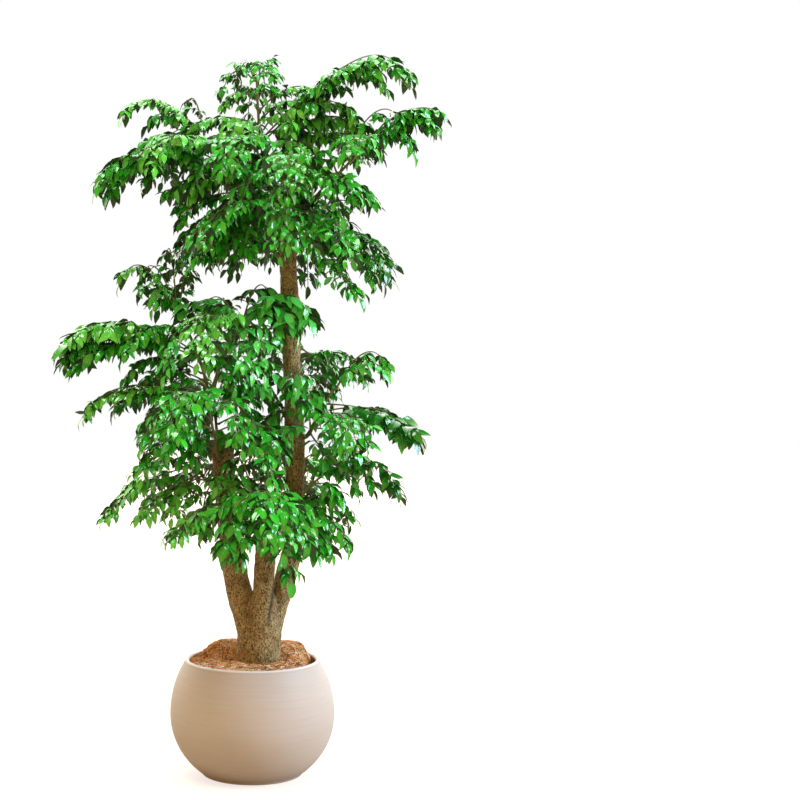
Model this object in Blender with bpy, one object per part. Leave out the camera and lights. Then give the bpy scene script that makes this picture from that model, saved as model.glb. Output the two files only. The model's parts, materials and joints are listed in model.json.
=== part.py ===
"""A potted china doll plant: a ball planter, potting soil, coir mulch, an old trunk of three pruned
stems, the young shoots that grow from the cut ends, and the compound leaves on the shoots.

Metres, +Z up. The origin is the centre of the pot's flat foot. The tallest stem is on the +X side,
and -Y is the front. Every piece is one closed solid, and neighbours keep a gap of GAP.
"""

import math
from dataclasses import dataclass

import bmesh
import bpy
import numpy as np
from mathutils import Vector
from mathutils.bvhtree import BVHTree

# ---------------------------------------------------------------- driving dimensions
GAP = 0.0003  # clearance between pieces that touch
SIDE_GAP = 0.0004  # the same across sloping or many-sided walls, measured level

POT_DIAMETER = 0.400
POT_HEIGHT = 0.278
POT_FOOT_DIAMETER = 0.234
POT_WALL = 0.011
POT_FLOOR = 0.016
POT_BELLY_HEIGHT = 0.146  # height of the widest place
POT_RIM_DIAMETER = 0.322
POT_LIP = 0.005  # height of the rounded edge
POT_FLOOR_CURVE = 0.018  # how far the wall turns in to meet the floor
POT_FOOT_LEVEL = 0.012  # height of the profile's first corner above the foot
POT_LIP_BEVEL = 0.0020  # the lip's corners are rounded off by this much across
POT_LIP_CROWN = 0.0012  # and by this much down
POT_SIDES = 48

DRAIN_HOLES = 4
DRAIN_HOLE_DIAMETER = 0.014
DRAIN_CIRCLE_DIAMETER = 0.130
DRAIN_HOLE_SIDES = 12

SOIL_TOP = 0.236
GROUND_SIDES = 24  # soil and mulch: every second corner of the pot

MULCH_LEVEL = 0.262  # the mulch against the pot's wall
MULCH_RISE = 0.010  # how much higher it lies round the trunk
HUMP_HEIGHT = 0.047
HUMP_SPREAD = 0.056
HUMP_STEEPNESS = 1.6  # above 1 the mounds have flatter tops and steeper sides
HUMPS = ((-0.060, 0.072), (0.092, 0.052))  # x and y of the two mounds behind the trunk
HUMP_MARGIN = 0.012  # the mounds fade out this far from the pot's wall
MULCH_WAVE = 0.0015  # height of the small waves, and their lengths along x and y
MULCH_WAVE_LENGTHS = (0.103, 0.119)
MULCH_RINGS = (0.10, 0.28, 0.50, 0.72, 0.90, 1.0)  # places of the top's rings, from wall to trunk

TRUNK_SIDES = 24
STEM_SIDES = 12
TRUNK_LOBE = 0.035  # depth of the base's three lobes, over its radius
TRUNK_LOBE_TURN = 2.6  # where they point, in radians
ROOT_DEPTH = 0.115  # how far the root crown reaches down into the soil
TRUNK_STRAIGHT_TOP = 0.305  # the base keeps one cross-section from the soil to above the mulch

SHOOT_SIDES = 6
SHOOT_COLLAR = 1.5  # swelling where a shoot leaves its stem
SHOOT_COLLAR_LENGTH = 0.012

RACHIS_WIDTH = 0.0046  # stalk of a compound leaf, across, near its foot
RACHIS_TIP_WIDTH = 0.0022
LEAF_THICKNESS = 0.0022
LEAF_FOOT = 0.008  # the stalk leaves its shoot squarely for this length
PETIOLE_SHARE = 0.24  # bare part of the stalk
ARCH_CLIMB_AT = 0.34  # the arch's two middle controls, as shares of the leaf's reach
ARCH_CREST_AT = 0.80
ARCH_CREST_LIFT = 1.25  # height of the second one, over the leaf's rise
LEAFLET_SWEEP = math.radians(32)  # leaflets lean towards the leaf's tip
LEAFLET_DROOP = math.radians(38)  # and hang below the stalk
END_LEAFLET_DROOP = 0.8  # the leaflet at the tip hangs less, by this share
LEAFLET_SLENDERNESS = 0.36  # leaflet width over length
LEAFLET_WIDEST_AT = 0.42  # shares of the leaflet's length
LEAFLET_CREST_AT = 0.40
LEAFLET_LONGEST = 0.115
LEAFLET_SHORTEST = 0.028  # on a leaf of no reach
LEAFLET_PER_REACH = 0.30  # how the length grows with the leaf
LEAFLET_LAST = 0.62  # the shortest leaflets of a leaf, over its longest
LEAFLET_FOOT_SHARE = 0.10  # length of a leaflet's foot along the stalk, over the pairs' spacing
PAIR_LEAD = 0.1  # bare stalk before the first pair and after the last, over the same spacing
PAIR_TRAIL = 0.4
STALK_END = 0.98  # where the end leaflet grows, as a share of the arch

SMOOTH_ANGLE = math.radians(50)  # edges sharper than this stay sharp
SEEK_REACH = 0.2  # a seat is looked for from this far outside its piece


# ---------------------------------------------------------------- materials
def material(name, color, roughness):
    """A Principled material of one colour."""
    made = bpy.data.materials.new(name)
    made.use_nodes = True
    shader = made.node_tree.nodes["Principled BSDF"]
    shader.inputs["Base Color"].default_value = (*color, 1.0)
    shader.inputs["Roughness"].default_value = roughness
    shader.inputs["Metallic"].default_value = 0.0
    made.diffuse_color = (*color, 1.0)
    return made


# ---------------------------------------------------------------- mesh helpers
def finished(name, shape, finish, smooth=True):
    """An object made from a bmesh, with its faces pointing out."""
    bmesh.ops.recalc_face_normals(shape, faces=shape.faces)
    mesh = bpy.data.meshes.new(name)
    shape.to_mesh(mesh)
    shape.free()
    mesh.materials.append(finish)
    if smooth:
        mesh.shade_smooth()
        mesh.set_sharp_from_angle(angle=SMOOTH_ANGLE)
    made = bpy.data.objects.new(name, mesh)
    bpy.context.collection.objects.link(made)
    return made


def loft(name, rings, finish, closed=False):
    """A solid through rings with equal numbers of points.

    An open row of rings is capped at both ends, and a closed one joins its last ring to its first.
    """
    shape = bmesh.new()
    rows = [[shape.verts.new(point) for point in ring] for ring in rings]
    if closed:
        rows.append(rows[0])
    else:
        shape.faces.new(rows[0])
        shape.faces.new(rows[-1])
    for near, far in zip(rows, rows[1:]):
        for corners in zip(near, near[1:] + near[:1], far[1:] + far[:1], far):
            shape.faces.new(corners)
    return finished(name, shape, finish)


def turned(name, profile, sides, finish):
    """A solid turned about the Z axis from a profile of radii and heights that ends on the axis."""
    shape = bmesh.new()
    corners = [shape.verts.new((radius, 0.0, height)) for radius, height in profile]
    edges = [shape.edges.new(pair) for pair in zip(corners, corners[1:])]
    bmesh.ops.spin(shape, geom=corners + edges, cent=(0.0, 0.0, 0.0), axis=(0.0, 0.0, 1.0),
                   angle=2.0 * math.pi, steps=sides)
    bmesh.ops.remove_doubles(shape, verts=shape.verts, dist=GAP / 10)
    return finished(name, shape, finish)


def round_ring(radius, height, sides):
    """A level circle of points about the Z axis."""
    turn = np.arange(sides) * 2.0 * math.pi / sides
    return np.column_stack([radius * np.cos(turn), radius * np.sin(turn), np.full(sides, height)])


def smooth_route(points, steps):
    """Points at equal parameters along a Catmull-Rom curve through the given points."""
    route = np.array(points, dtype=float)
    padded = np.vstack([2 * route[0] - route[1], route, 2 * route[-1] - route[-2]])
    places = np.linspace(0.0, len(route) - 1.0, steps)
    curve = []
    for place in places:
        span = min(int(place), len(route) - 2)
        t = place - span
        before, start, end, after = padded[span : span + 4]
        curve.append(
            0.5 * (2 * start + (end - before) * t + (2 * before - 5 * start + 4 * end - after) * t**2
                   + (3 * start - before - 3 * end + after) * t**3)
        )
    return np.array(curve)


def directions_along(route):
    """Unit directions of a route at each of its points."""
    steps = np.gradient(route, axis=0)
    return steps / np.linalg.norm(steps, axis=1, keepdims=True)


def tube_rings(route, radii, sides, first=None):
    """Rings of a tube along a route, without twist. first squares the foot to a direction of its own."""
    ahead = directions_along(route)
    if first is not None:
        ahead[0] = first
    across = np.cross(ahead[0], (0.0, 1.0, 0.0) if abs(ahead[0][1]) < 0.9 else (1.0, 0.0, 0.0))
    rings = []
    turn = np.arange(sides) * 2.0 * math.pi / sides
    for centre, axis, radius in zip(route, ahead, radii):
        across = across - axis * np.dot(across, axis)
        across = across / np.linalg.norm(across)
        beside = np.cross(axis, across)
        rings.append(centre + radius * (np.outer(np.cos(turn), across) + np.outer(np.sin(turn), beside)))
    return rings


def surface_of(thing):
    """A search tree of an object's finished surface."""
    return BVHTree.FromObject(thing, bpy.context.evaluated_depsgraph_get())


def seat_on(surface, inside, outward):
    """The point GAP outside a surface, met from inside along a direction, and the normal there."""
    aim = Vector(outward).normalized()
    start = Vector(inside) + aim * SEEK_REACH
    hit, normal, _, _ = surface.ray_cast(start, -aim, 2 * SEEK_REACH)
    return np.array(hit + normal * GAP), np.array(normal)


# ---------------------------------------------------------------- the pot
def pot_radius(height):
    """Outer radius of the pot: two half ellipses that meet at the widest place."""
    widest = POT_DIAMETER / 2
    above = height >= POT_BELLY_HEIGHT
    end_radius = (POT_RIM_DIAMETER if above else POT_FOOT_DIAMETER) / 2
    end_height = POT_HEIGHT if above else 0.0
    reach = abs(end_height - POT_BELLY_HEIGHT) / math.sqrt(1 - (end_radius / widest) ** 2)
    return widest * math.sqrt(1 - ((height - POT_BELLY_HEIGHT) / reach) ** 2)


# Heights of the corners of the turned profile. The soil and the mulch use the same ones.
POT_LEVELS = (0.032, 0.058, 0.090, POT_BELLY_HEIGHT, 0.190, 0.226, 0.254, POT_HEIGHT - POT_LIP)


def pot_inner_radius(height):
    """Inner radius of the pot at a height, along the straight stretches between its corners."""
    heights = (POT_FLOOR, *POT_LEVELS)
    radii = [pot_radius(level) - POT_WALL for level in POT_LEVELS]
    return float(np.interp(height, heights, [radii[0] - POT_FLOOR_CURVE, *radii]))


def build_pot(finish):
    """A hollow turned shell with a rounded lip, a flat foot and drainage holes."""
    rim = pot_radius(POT_HEIGHT)
    profile = [(0.0, 0.0)]
    profile += [(pot_radius(height), height) for height in (0.0, POT_FOOT_LEVEL, *POT_LEVELS)]
    profile += [(rim - POT_LIP_BEVEL, POT_HEIGHT - POT_LIP_CROWN), (rim - POT_WALL / 2, POT_HEIGHT)]
    profile += [(rim - POT_WALL + POT_LIP_BEVEL, POT_HEIGHT - POT_LIP_CROWN)]
    profile += [(pot_inner_radius(height), height) for height in (*reversed(POT_LEVELS), POT_FLOOR)]
    profile += [(0.0, POT_FLOOR)]
    pot = turned("pot", profile, POT_SIDES, finish)
    for index in range(DRAIN_HOLES):
        turn = (index + 0.5) * 2 * math.pi / DRAIN_HOLES
        shape = bmesh.new()
        bmesh.ops.create_cone(shape, cap_ends=True, segments=DRAIN_HOLE_SIDES, depth=4 * POT_FLOOR,
                              radius1=DRAIN_HOLE_DIAMETER / 2, radius2=DRAIN_HOLE_DIAMETER / 2)
        drill = finished(f"drain_drill_{index + 1}", shape, finish)
        reach = DRAIN_CIRCLE_DIAMETER / 2
        drill.location = (reach * math.cos(turn), reach * math.sin(turn), 0.0)
        cut_with(pot, drill, "DIFFERENCE")
    return pot


def cut_with(thing, tool, operation):
    """Add an exact Boolean whose tool stays out of the model."""
    tool.hide_render = True
    tool.display_type = "WIRE"
    boolean = thing.modifiers.new(tool.name, "BOOLEAN")
    boolean.operation = operation
    boolean.solver = "EXACT"
    boolean.object = tool


# ---------------------------------------------------------------- the trunk's fused base
# Height, centre x, half width and half depth of the fused base, from the root crown upwards.
TRUNK_BASE = (
    (SOIL_TOP - ROOT_DEPTH, 0.012, 0.026, 0.024),
    (SOIL_TOP - 0.070, 0.013, 0.043, 0.040),
    (SOIL_TOP - 0.025, 0.015, 0.053, 0.048),
    (SOIL_TOP, 0.0165, 0.0535, 0.049),
    (TRUNK_STRAIGHT_TOP, 0.0165, 0.0535, 0.049),
    (0.340, 0.0170, 0.0530, 0.045),
    (0.380, 0.0190, 0.0490, 0.037),
    (0.415, 0.0210, 0.0400, 0.028),
    (0.435, 0.0215, 0.0250, 0.018),
)


def base_ring(height, gap=0.0):
    """Cross-section of the fused base, widened by a gap: an ellipse with three shallow lobes."""
    table = np.array(TRUNK_BASE)
    centre, half_width, half_depth = (np.interp(height, table[:, 0], table[:, k]) for k in (1, 2, 3))
    turn = np.arange(TRUNK_SIDES) * 2.0 * math.pi / TRUNK_SIDES
    lobes = 1.0 + TRUNK_LOBE * np.cos(3 * turn + TRUNK_LOBE_TURN)
    x = centre + (half_width * lobes + gap) * np.cos(turn)
    y = (half_depth * lobes + gap) * np.sin(turn)
    return np.column_stack([x, y, np.full(TRUNK_SIDES, height)])


# ---------------------------------------------------------------- soil and mulch
def build_soil(finish):
    """The root ball: it fills the pot up to SOIL_TOP and has a socket for the root crown."""
    levels = [level for level in POT_LEVELS if level < SOIL_TOP] + [SOIL_TOP]
    rings = [round_ring(pot_inner_radius(POT_FLOOR) - GAP, POT_FLOOR + GAP, GROUND_SIDES)]
    rings += [round_ring(pot_inner_radius(level) - SIDE_GAP, level, GROUND_SIDES) for level in levels]
    rings += [base_ring(row[0], SIDE_GAP) for row in reversed(TRUNK_BASE) if row[0] <= SOIL_TOP]
    rings[-1][:, 2] -= GAP
    return loft("potting_soil", rings, finish)


def mulch_height(x, y):
    """Height of the mulch: a gentle rise to the trunk, two mounds behind it, and small waves."""
    wall = POT_RIM_DIAMETER / 2 - POT_WALL
    distance = np.hypot(x, y)
    height = MULCH_LEVEL + MULCH_RISE * (1.0 - np.clip(distance / wall, 0.0, 1.0) ** 2)
    fade = np.clip((wall - distance) / HUMP_MARGIN, 0.0, 1.0)
    for hump_x, hump_y in HUMPS:
        away = ((x - hump_x) ** 2 + (y - hump_y) ** 2) / HUMP_SPREAD**2
        hump = np.exp(-(away**HUMP_STEEPNESS))
        height = height + HUMP_HEIGHT * hump * fade
    across, along = (2 * math.pi / length for length in MULCH_WAVE_LENGTHS)
    return height + MULCH_WAVE * np.sin(across * x + 1.0) * np.cos(along * y)


def build_mulch(finish):
    """A ring of coir between the pot's wall and the trunk, lying on the soil."""
    foot = SOIL_TOP + GAP
    wall_ring = round_ring(pot_inner_radius(MULCH_LEVEL) - SIDE_GAP, MULCH_LEVEL, GROUND_SIDES)
    trunk_ring = base_ring(SOIL_TOP, SIDE_GAP)
    rings = [round_ring(pot_inner_radius(level) - SIDE_GAP, level, GROUND_SIDES)
             for level in (foot, *[level for level in POT_LEVELS if foot < level < MULCH_LEVEL])]
    rings.append(wall_ring)
    for share in MULCH_RINGS:
        ring = wall_ring * (1 - share) + trunk_ring * share
        ring[:, 2] = mulch_height(ring[:, 0], ring[:, 1])
        rings.append(ring)
    trunk_ring[:, 2] = foot
    rings.append(trunk_ring)
    return loft("coir_mulch", rings, finish, closed=True)


# ---------------------------------------------------------------- the trunk
@dataclass
class Stem:
    """One pruned stem: the places its axis passes, each with its radius."""

    name: str
    route: tuple  # x, y, z, radius


STEMS = (
    Stem("left_stem", (
        (0.002, 0.004, 0.300, 0.0300), (-0.0094, 0.004, 0.360, 0.0330), (-0.0200, 0.004, 0.400, 0.0330),
        (-0.0345, 0.004, 0.450, 0.0315), (-0.0453, 0.004, 0.517, 0.0297), (-0.0590, 0.006, 0.630, 0.0280),
        (-0.0690, 0.008, 0.737, 0.0268), (-0.0745, 0.008, 0.800, 0.0262),
    )),
    Stem("middle_stem", (
        (0.0220, -0.010, 0.310, 0.0320), (0.0240, -0.018, 0.360, 0.0320), (0.0265, -0.023, 0.410, 0.0295),
        (0.0280, -0.026, 0.454, 0.0272), (0.0320, -0.028, 0.540, 0.0265), (0.0360, -0.028, 0.620, 0.0255),
    )),
    Stem("right_stem", (
        (0.0360, 0.008, 0.300, 0.0300), (0.0440, 0.010, 0.354, 0.0295), (0.0560, 0.014, 0.392, 0.0285),
        (0.0740, 0.018, 0.446, 0.0268), (0.0870, 0.018, 0.492, 0.0252), (0.0985, 0.018, 0.560, 0.0238),
        (0.1040, 0.016, 0.680, 0.0222), (0.1045, 0.014, 0.780, 0.0240), (0.1040, 0.013, 0.835, 0.0258),
        (0.1010, 0.012, 0.890, 0.0232), (0.0970, 0.010, 0.970, 0.0220), (0.0950, 0.010, 1.060, 0.0228),
        (0.0925, 0.010, 1.140, 0.0232), (0.0880, 0.010, 1.220, 0.0215), (0.0875, 0.010, 1.320, 0.0208),
    )),
)


def axis_at(route, height):
    """The point of a rising stem's or shoot's axis at a height."""
    return np.array([np.interp(height, route[:, 2], route[:, k]) for k in (0, 1)] + [height])


def build_trunk(finish):
    """The fused base, joined with its three stems, each ending in a flat pruning cut."""
    trunk = loft("trunk", [base_ring(row[0]) for row in TRUNK_BASE], finish)
    for stem in STEMS:
        table = np.array(stem.route)
        route = smooth_route(table[:, :3], len(table) + 3)
        radii = np.interp(route[:, 2], table[:, 2], table[:, 3])
        part = loft(stem.name, tube_rings(route, radii, STEM_SIDES), finish)
        cut_with(trunk, part, "UNION")
    return trunk


# ---------------------------------------------------------------- the young shoots
@dataclass
class Shoot:
    """A young branch: what it grows from, where, and the places that it passes on its way out."""

    name: str
    parent: str
    height: float  # where it leaves the parent's axis
    route: tuple
    radius: float = 0.0050
    tip_radius: float = 0.0026


SHOOTS = (
    # from the top of the tall stem
    Shoot("shoot_leader", "right_stem", 1.300, ((0.044, 0.004, 1.410), (0.019, 0.000, 1.550),
          (0.010, 0.000, 1.695)), 0.0060),
    Shoot("shoot_upper_right", "right_stem", 1.285, ((0.135, -0.010, 1.375), (0.200, -0.018, 1.448),
          (0.272, -0.022, 1.520)), 0.0060),
    Shoot("shoot_upper_left", "right_stem", 1.265, ((0.018, -0.010, 1.360), (-0.055, -0.012, 1.455),
          (-0.110, -0.012, 1.535))),
    Shoot("shoot_upper_front", "right_stem", 1.250, ((0.096, -0.085, 1.330), (0.086, -0.150, 1.430))),
    Shoot("shoot_upper_back", "right_stem", 1.275, ((0.092, 0.090, 1.350), (0.090, 0.155, 1.460))),
    # half way up the tall stem
    Shoot("shoot_mid_right", "right_stem", 0.820, ((0.160, -0.016, 0.872), (0.196, -0.024, 0.935))),
    Shoot("shoot_mid_back", "right_stem", 0.900, ((0.112, 0.085, 0.965), (0.118, 0.130, 1.040))),
    # from the top of the left stem
    Shoot("shoot_left", "left_stem", 0.785, ((-0.106, 0.004, 0.880), (-0.116, 0.000, 0.965),
          (-0.146, 0.000, 1.050), (-0.182, 0.000, 1.128)), 0.0062),
    Shoot("shoot_left_inner", "shoot_left", 0.935, ((-0.070, -0.030, 1.020), (-0.028, -0.048, 1.095))),
    Shoot("shoot_left_front", "left_stem", 0.770, ((-0.092, -0.080, 0.830), (-0.104, -0.130, 0.900))),
    Shoot("shoot_left_back", "left_stem", 0.765, ((-0.090, 0.090, 0.840), (-0.096, 0.140, 0.920))),
    Shoot("shoot_left_low", "left_stem", 0.700, ((-0.130, 0.010, 0.735), (-0.165, 0.010, 0.790))),
    # from the top of the middle stem
    Shoot("shoot_low_right", "middle_stem", 0.600, ((0.100, -0.070, 0.650), (0.142, -0.080, 0.715))),
    Shoot("shoot_low_front", "middle_stem", 0.590, ((0.018, -0.105, 0.635), (0.004, -0.150, 0.690))),
    Shoot("shoot_low_back", "right_stem", 0.640, ((0.116, 0.085, 0.690), (0.116, 0.125, 0.750))),
)


def shoot_route(shoot, surfaces, routes):
    """The shoot's axis, from its seat on the parent out to its tip, and the direction that it leaves in."""
    inside = axis_at(routes[shoot.parent], shoot.height)
    first = np.array(shoot.route[0])
    outward = first - inside
    outward[2] = 0.0
    seat, normal = seat_on(surfaces[shoot.parent], inside, outward)
    points = [seat, seat + normal * SHOOT_COLLAR_LENGTH, *shoot.route]
    return smooth_route(points, 2 * len(points) - 1), normal


def build_shoot(shoot, surfaces, routes, finish):
    """A tapered branch with a swollen collar. Returns the object and its axis."""
    route, normal = shoot_route(shoot, surfaces, routes)
    share = np.linspace(0.0, 1.0, len(route))
    radii = shoot.radius + (shoot.tip_radius - shoot.radius) * share
    radii[0] *= SHOOT_COLLAR
    rings = tube_rings(route, radii, SHOOT_SIDES, normal)
    return loft(shoot.name, rings, finish), route


# ---------------------------------------------------------------- the compound leaves
@dataclass
class Leaf:
    """One compound leaf: where it grows on its shoot, which way, how far, and how it arches."""

    name: str
    shoot: str
    at: float  # share of the shoot's length
    azimuth: float  # degrees, 0 to the right, 90 to the back
    reach: float  # level distance from foot to tip
    rise: float  # how high the arch climbs
    drop: float  # how far the tip hangs below the arch
    pairs: int = 5
    climb: float = 0.9  # how much of the rise it gains in its first third


LEAVES = (
    # tuft at the top
    Leaf("leaf_top_left", "shoot_leader", 0.98, 188, 0.078, 0.030, 0.070, 4, 1.20),
    Leaf("leaf_top_right", "shoot_leader", 1.00, 20, 0.036, 0.038, 0.080, 4),
    Leaf("leaf_top_front", "shoot_leader", 0.91, 276, 0.160, 0.076, 0.110, 4),
    Leaf("leaf_top_back", "shoot_leader", 0.87, 98, 0.170, 0.060, 0.100, 4),
    # along the leader
    Leaf("leaf_high_right", "shoot_leader", 0.64, 342, 0.368, 0.246, 0.134, 8, 0.46),
    Leaf("leaf_high_front", "shoot_leader", 0.50, 250, 0.290, 0.070, 0.110),
    Leaf("leaf_high_back", "shoot_leader", 0.46, 110, 0.290, 0.070, 0.110),
    # upper right
    Leaf("leaf_right_tip", "shoot_upper_right", 1.00, 10, 0.190, 0.104, 0.024),
    Leaf("leaf_right_back", "shoot_upper_right", 0.90, 84, 0.200, 0.065, 0.060),
    Leaf("leaf_right_front", "shoot_upper_right", 0.84, 272, 0.220, 0.065, 0.080),
    Leaf("leaf_right_small", "shoot_upper_right", 0.56, 350, 0.126, 0.020, 0.060, 4),
    Leaf("leaf_skirt_right", "shoot_upper_right", 0.20, 340, 0.212, 0.018, 0.102),
    Leaf("leaf_skirt_right_back", "shoot_upper_right", 0.22, 36, 0.250, -0.005, 0.120),
    # upper left
    Leaf("leaf_left_tip", "shoot_upper_left", 1.00, 176, 0.202, 0.114, 0.060, 5, 1.00),
    Leaf("leaf_left_back", "shoot_upper_left", 0.92, 120, 0.270, 0.050, 0.100),
    Leaf("leaf_left_front", "shoot_upper_left", 0.86, 232, 0.250, 0.060, 0.100),
    Leaf("leaf_left_mid", "shoot_upper_left", 0.66, 186, 0.330, 0.102, 0.124, 7, 1.00),
    Leaf("leaf_skirt_left", "shoot_upper_left", 0.40, 204, 0.205, 0.005, 0.120),
    # front and back of the upper crown
    Leaf("leaf_front_tip", "shoot_upper_front", 1.00, 268, 0.230, 0.060, 0.120),
    Leaf("leaf_front_left", "shoot_upper_front", 0.72, 212, 0.260, 0.020, 0.130),
    Leaf("leaf_front_right", "shoot_upper_front", 0.66, 310, 0.200, 0.000, 0.120),
    Leaf("leaf_back_tip", "shoot_upper_back", 1.00, 92, 0.220, 0.060, 0.120),
    Leaf("leaf_back_left", "shoot_upper_back", 0.62, 152, 0.270, 0.010, 0.130),
    # right side of the middle crown
    Leaf("leaf_mid_right_top", "shoot_mid_right", 1.00, 2, 0.124, 0.102, 0.056, 4),
    Leaf("leaf_mid_right", "shoot_mid_right", 0.62, 352, 0.233, 0.020, 0.092, 6),
    Leaf("leaf_mid_right_front", "shoot_mid_right", 0.50, 292, 0.230, 0.030, 0.100),
    Leaf("leaf_mid_back", "shoot_mid_back", 1.00, 66, 0.210, -0.035, 0.055),
    # left side of the middle crown
    Leaf("leaf_spray_high", "shoot_left", 1.00, 177, 0.136, 0.118, 0.056, 4, 1.00),
    Leaf("leaf_spray_long", "shoot_left", 0.72, 184, 0.318, 0.088, 0.082, 7),
    Leaf("leaf_centre_bright", "shoot_left_inner", 1.00, 346, 0.165, 0.080, 0.085),
    Leaf("leaf_centre_front", "shoot_left_inner", 0.80, 252, 0.240, 0.070, 0.130),
    Leaf("leaf_left_front_low", "shoot_left_front", 1.00, 250, 0.240, 0.050, 0.120),
    Leaf("leaf_left_front_side", "shoot_left_front", 0.66, 214, 0.130, 0.020, 0.090),
    Leaf("leaf_centre_low", "shoot_left_front", 0.50, 318, 0.185, 0.030, 0.130),
    Leaf("leaf_left_back_low", "shoot_left_back", 1.00, 118, 0.240, 0.050, 0.120),
    Leaf("leaf_left_second", "shoot_left", 0.42, 180, 0.302, 0.050, 0.098),
    Leaf("leaf_left_low", "shoot_left_low", 0.62, 186, 0.225, -0.035, 0.095, 5, 0.20),
    # the lowest leaves
    Leaf("leaf_low_right", "shoot_low_right", 1.00, 2, 0.198, 0.066, 0.100, 5, 1.00),
    Leaf("leaf_low_front", "shoot_low_front", 1.00, 288, 0.200, 0.030, 0.140),
    Leaf("leaf_low_left", "shoot_low_front", 0.80, 204, 0.215, 0.012, 0.085),
    Leaf("leaf_low_back", "shoot_low_back", 1.00, 84, 0.210, 0.010, 0.120),
)


def point_along(route, share):
    """The point at a share of a route's length, and the direction there."""
    steps = np.linalg.norm(np.diff(route, axis=0), axis=1)
    travelled = np.concatenate([[0.0], np.cumsum(steps)]) / steps.sum()
    point = np.array([np.interp(share, travelled, route[:, k]) for k in range(3)])
    ahead = np.array([np.interp(share, travelled, directions_along(route)[:, k]) for k in range(3)])
    return point, ahead / np.linalg.norm(ahead)


def arch(foot, heading, leaf, shares):
    """Points of the leaf's stalk: a cubic curve that climbs, levels out and drops at its tip."""
    up = np.array((0.0, 0.0, 1.0))
    controls = np.array([
        foot,
        foot + heading * leaf.reach * ARCH_CLIMB_AT + up * leaf.rise * leaf.climb,
        foot + heading * leaf.reach * ARCH_CREST_AT + up * leaf.rise * ARCH_CREST_LIFT,
        foot + heading * leaf.reach + up * (leaf.rise - leaf.drop),
    ])
    t = np.asarray(shares)[:, None]
    weights = np.hstack([(1 - t) ** 3, 3 * t * (1 - t) ** 2, 3 * t**2 * (1 - t), t**3])
    return weights @ controls


def leaflet_length(leaf, share):
    """Leaflets are longest before the middle of the leaf and shorter at its tip."""
    longest = min(LEAFLET_LONGEST, LEAFLET_SHORTEST + LEAFLET_PER_REACH * math.hypot(leaf.reach, leaf.rise))
    swell = math.sin(math.pi * (0.25 + 0.75 * share))
    return longest * (LEAFLET_LAST + (1.0 - LEAFLET_LAST) * swell)


# The four corners of a stalk's section.
LEFT, TOP, RIGHT, BOTTOM = range(4)


class LeafShape:
    """The shape of one compound leaf: a diamond stalk with flat folded leaflets."""

    def __init__(self):
        self.mesh = bmesh.new()

    def section(self, centre, ahead, width, side):
        """Add a section's corners to the stalk. side points roughly to the left."""
        up = np.cross(ahead, side)
        up = up / np.linalg.norm(up)
        side = np.cross(up, ahead)
        half = width / 2
        corners = (centre + side * half, centre + up * half, centre - side * half, centre - up * half)
        return [self.mesh.verts.new(corner) for corner in corners]

    def plain_side(self, near, far, hand):
        """Close the left or the right side of the stalk between two sections."""
        self.mesh.faces.new((near[TOP], far[TOP], far[hand], near[hand]))
        self.mesh.faces.new((near[hand], far[hand], far[BOTTOM], near[BOTTOM]))

    def blade(self, foot, axis, across, normal, length):
        """Add a leaflet's edge, tip, other edge and crest."""
        middle = foot + axis * length * LEAFLET_WIDEST_AT
        half = length * LEAFLET_SLENDERNESS / 2
        crest = foot + axis * length * LEAFLET_CREST_AT + normal * LEAF_THICKNESS
        corners = (middle - across * half, foot + axis * length, middle + across * half, crest)
        return [self.mesh.verts.new(corner) for corner in corners]

    def leaflet(self, near, far, hand, length):
        """Grow a leaflet from one side of the stalk between two sections."""
        a = np.array(near[hand].co)
        b = np.array(far[hand].co)
        ahead = (b - a) / np.linalg.norm(b - a)
        out = a - np.array(near[RIGHT if hand == LEFT else LEFT].co)
        out = out / np.linalg.norm(out) * math.cos(LEAFLET_DROOP)
        out = out - np.array((0.0, 0.0, 1.0)) * math.sin(LEAFLET_DROOP)
        out = out - ahead * np.dot(out, ahead)
        out = out / np.linalg.norm(out)
        axis = out * math.cos(LEAFLET_SWEEP) + ahead * math.sin(LEAFLET_SWEEP)
        across = ahead * math.cos(LEAFLET_SWEEP) - out * math.sin(LEAFLET_SWEEP)
        normal = np.cross(ahead, out)
        normal = normal if normal[2] > 0 else -normal
        near_edge, tip, far_edge, crest = self.blade((a + b) / 2, axis, across, normal, length)
        rim = (near[hand], near_edge, tip, far_edge, far[hand], far[TOP], near[TOP])
        for corner, after in zip(rim, rim[1:] + rim[:1]):
            self.mesh.faces.new((crest, corner, after))
        for face in ((near_edge, far_edge, tip), (near_edge, far[hand], far_edge),
                     (near_edge, near[hand], far[hand]), (near[hand], near[BOTTOM], far[hand]),
                     (near[BOTTOM], far[BOTTOM], far[hand])):
            self.mesh.faces.new(face)

    def end_leaflet(self, last, ahead, length):
        """Close the stalk with the leaflet at its tip."""
        across = np.array(last[LEFT].co - last[RIGHT].co)
        across = across / np.linalg.norm(across)
        foot = np.array(last[LEFT].co + last[RIGHT].co) / 2
        sag = np.array((0.0, 0.0, math.sin(LEAFLET_DROOP))) * END_LEAFLET_DROOP
        axis = ahead * math.cos(LEAFLET_DROOP) - sag
        axis = axis / np.linalg.norm(axis)
        normal = np.cross(axis, across)
        right_edge, tip, left_edge, crest = self.blade(foot, axis, across, normal, length)
        rim = (last[LEFT], left_edge, tip, right_edge, last[RIGHT], last[TOP])
        for corner, after in zip(rim, rim[1:] + rim[:1]):
            self.mesh.faces.new((crest, corner, after))
        for face in ((left_edge, last[BOTTOM], last[LEFT]), (left_edge, right_edge, last[BOTTOM]),
                     (right_edge, last[RIGHT], last[BOTTOM]), (left_edge, tip, right_edge)):
            self.mesh.faces.new(face)


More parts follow.
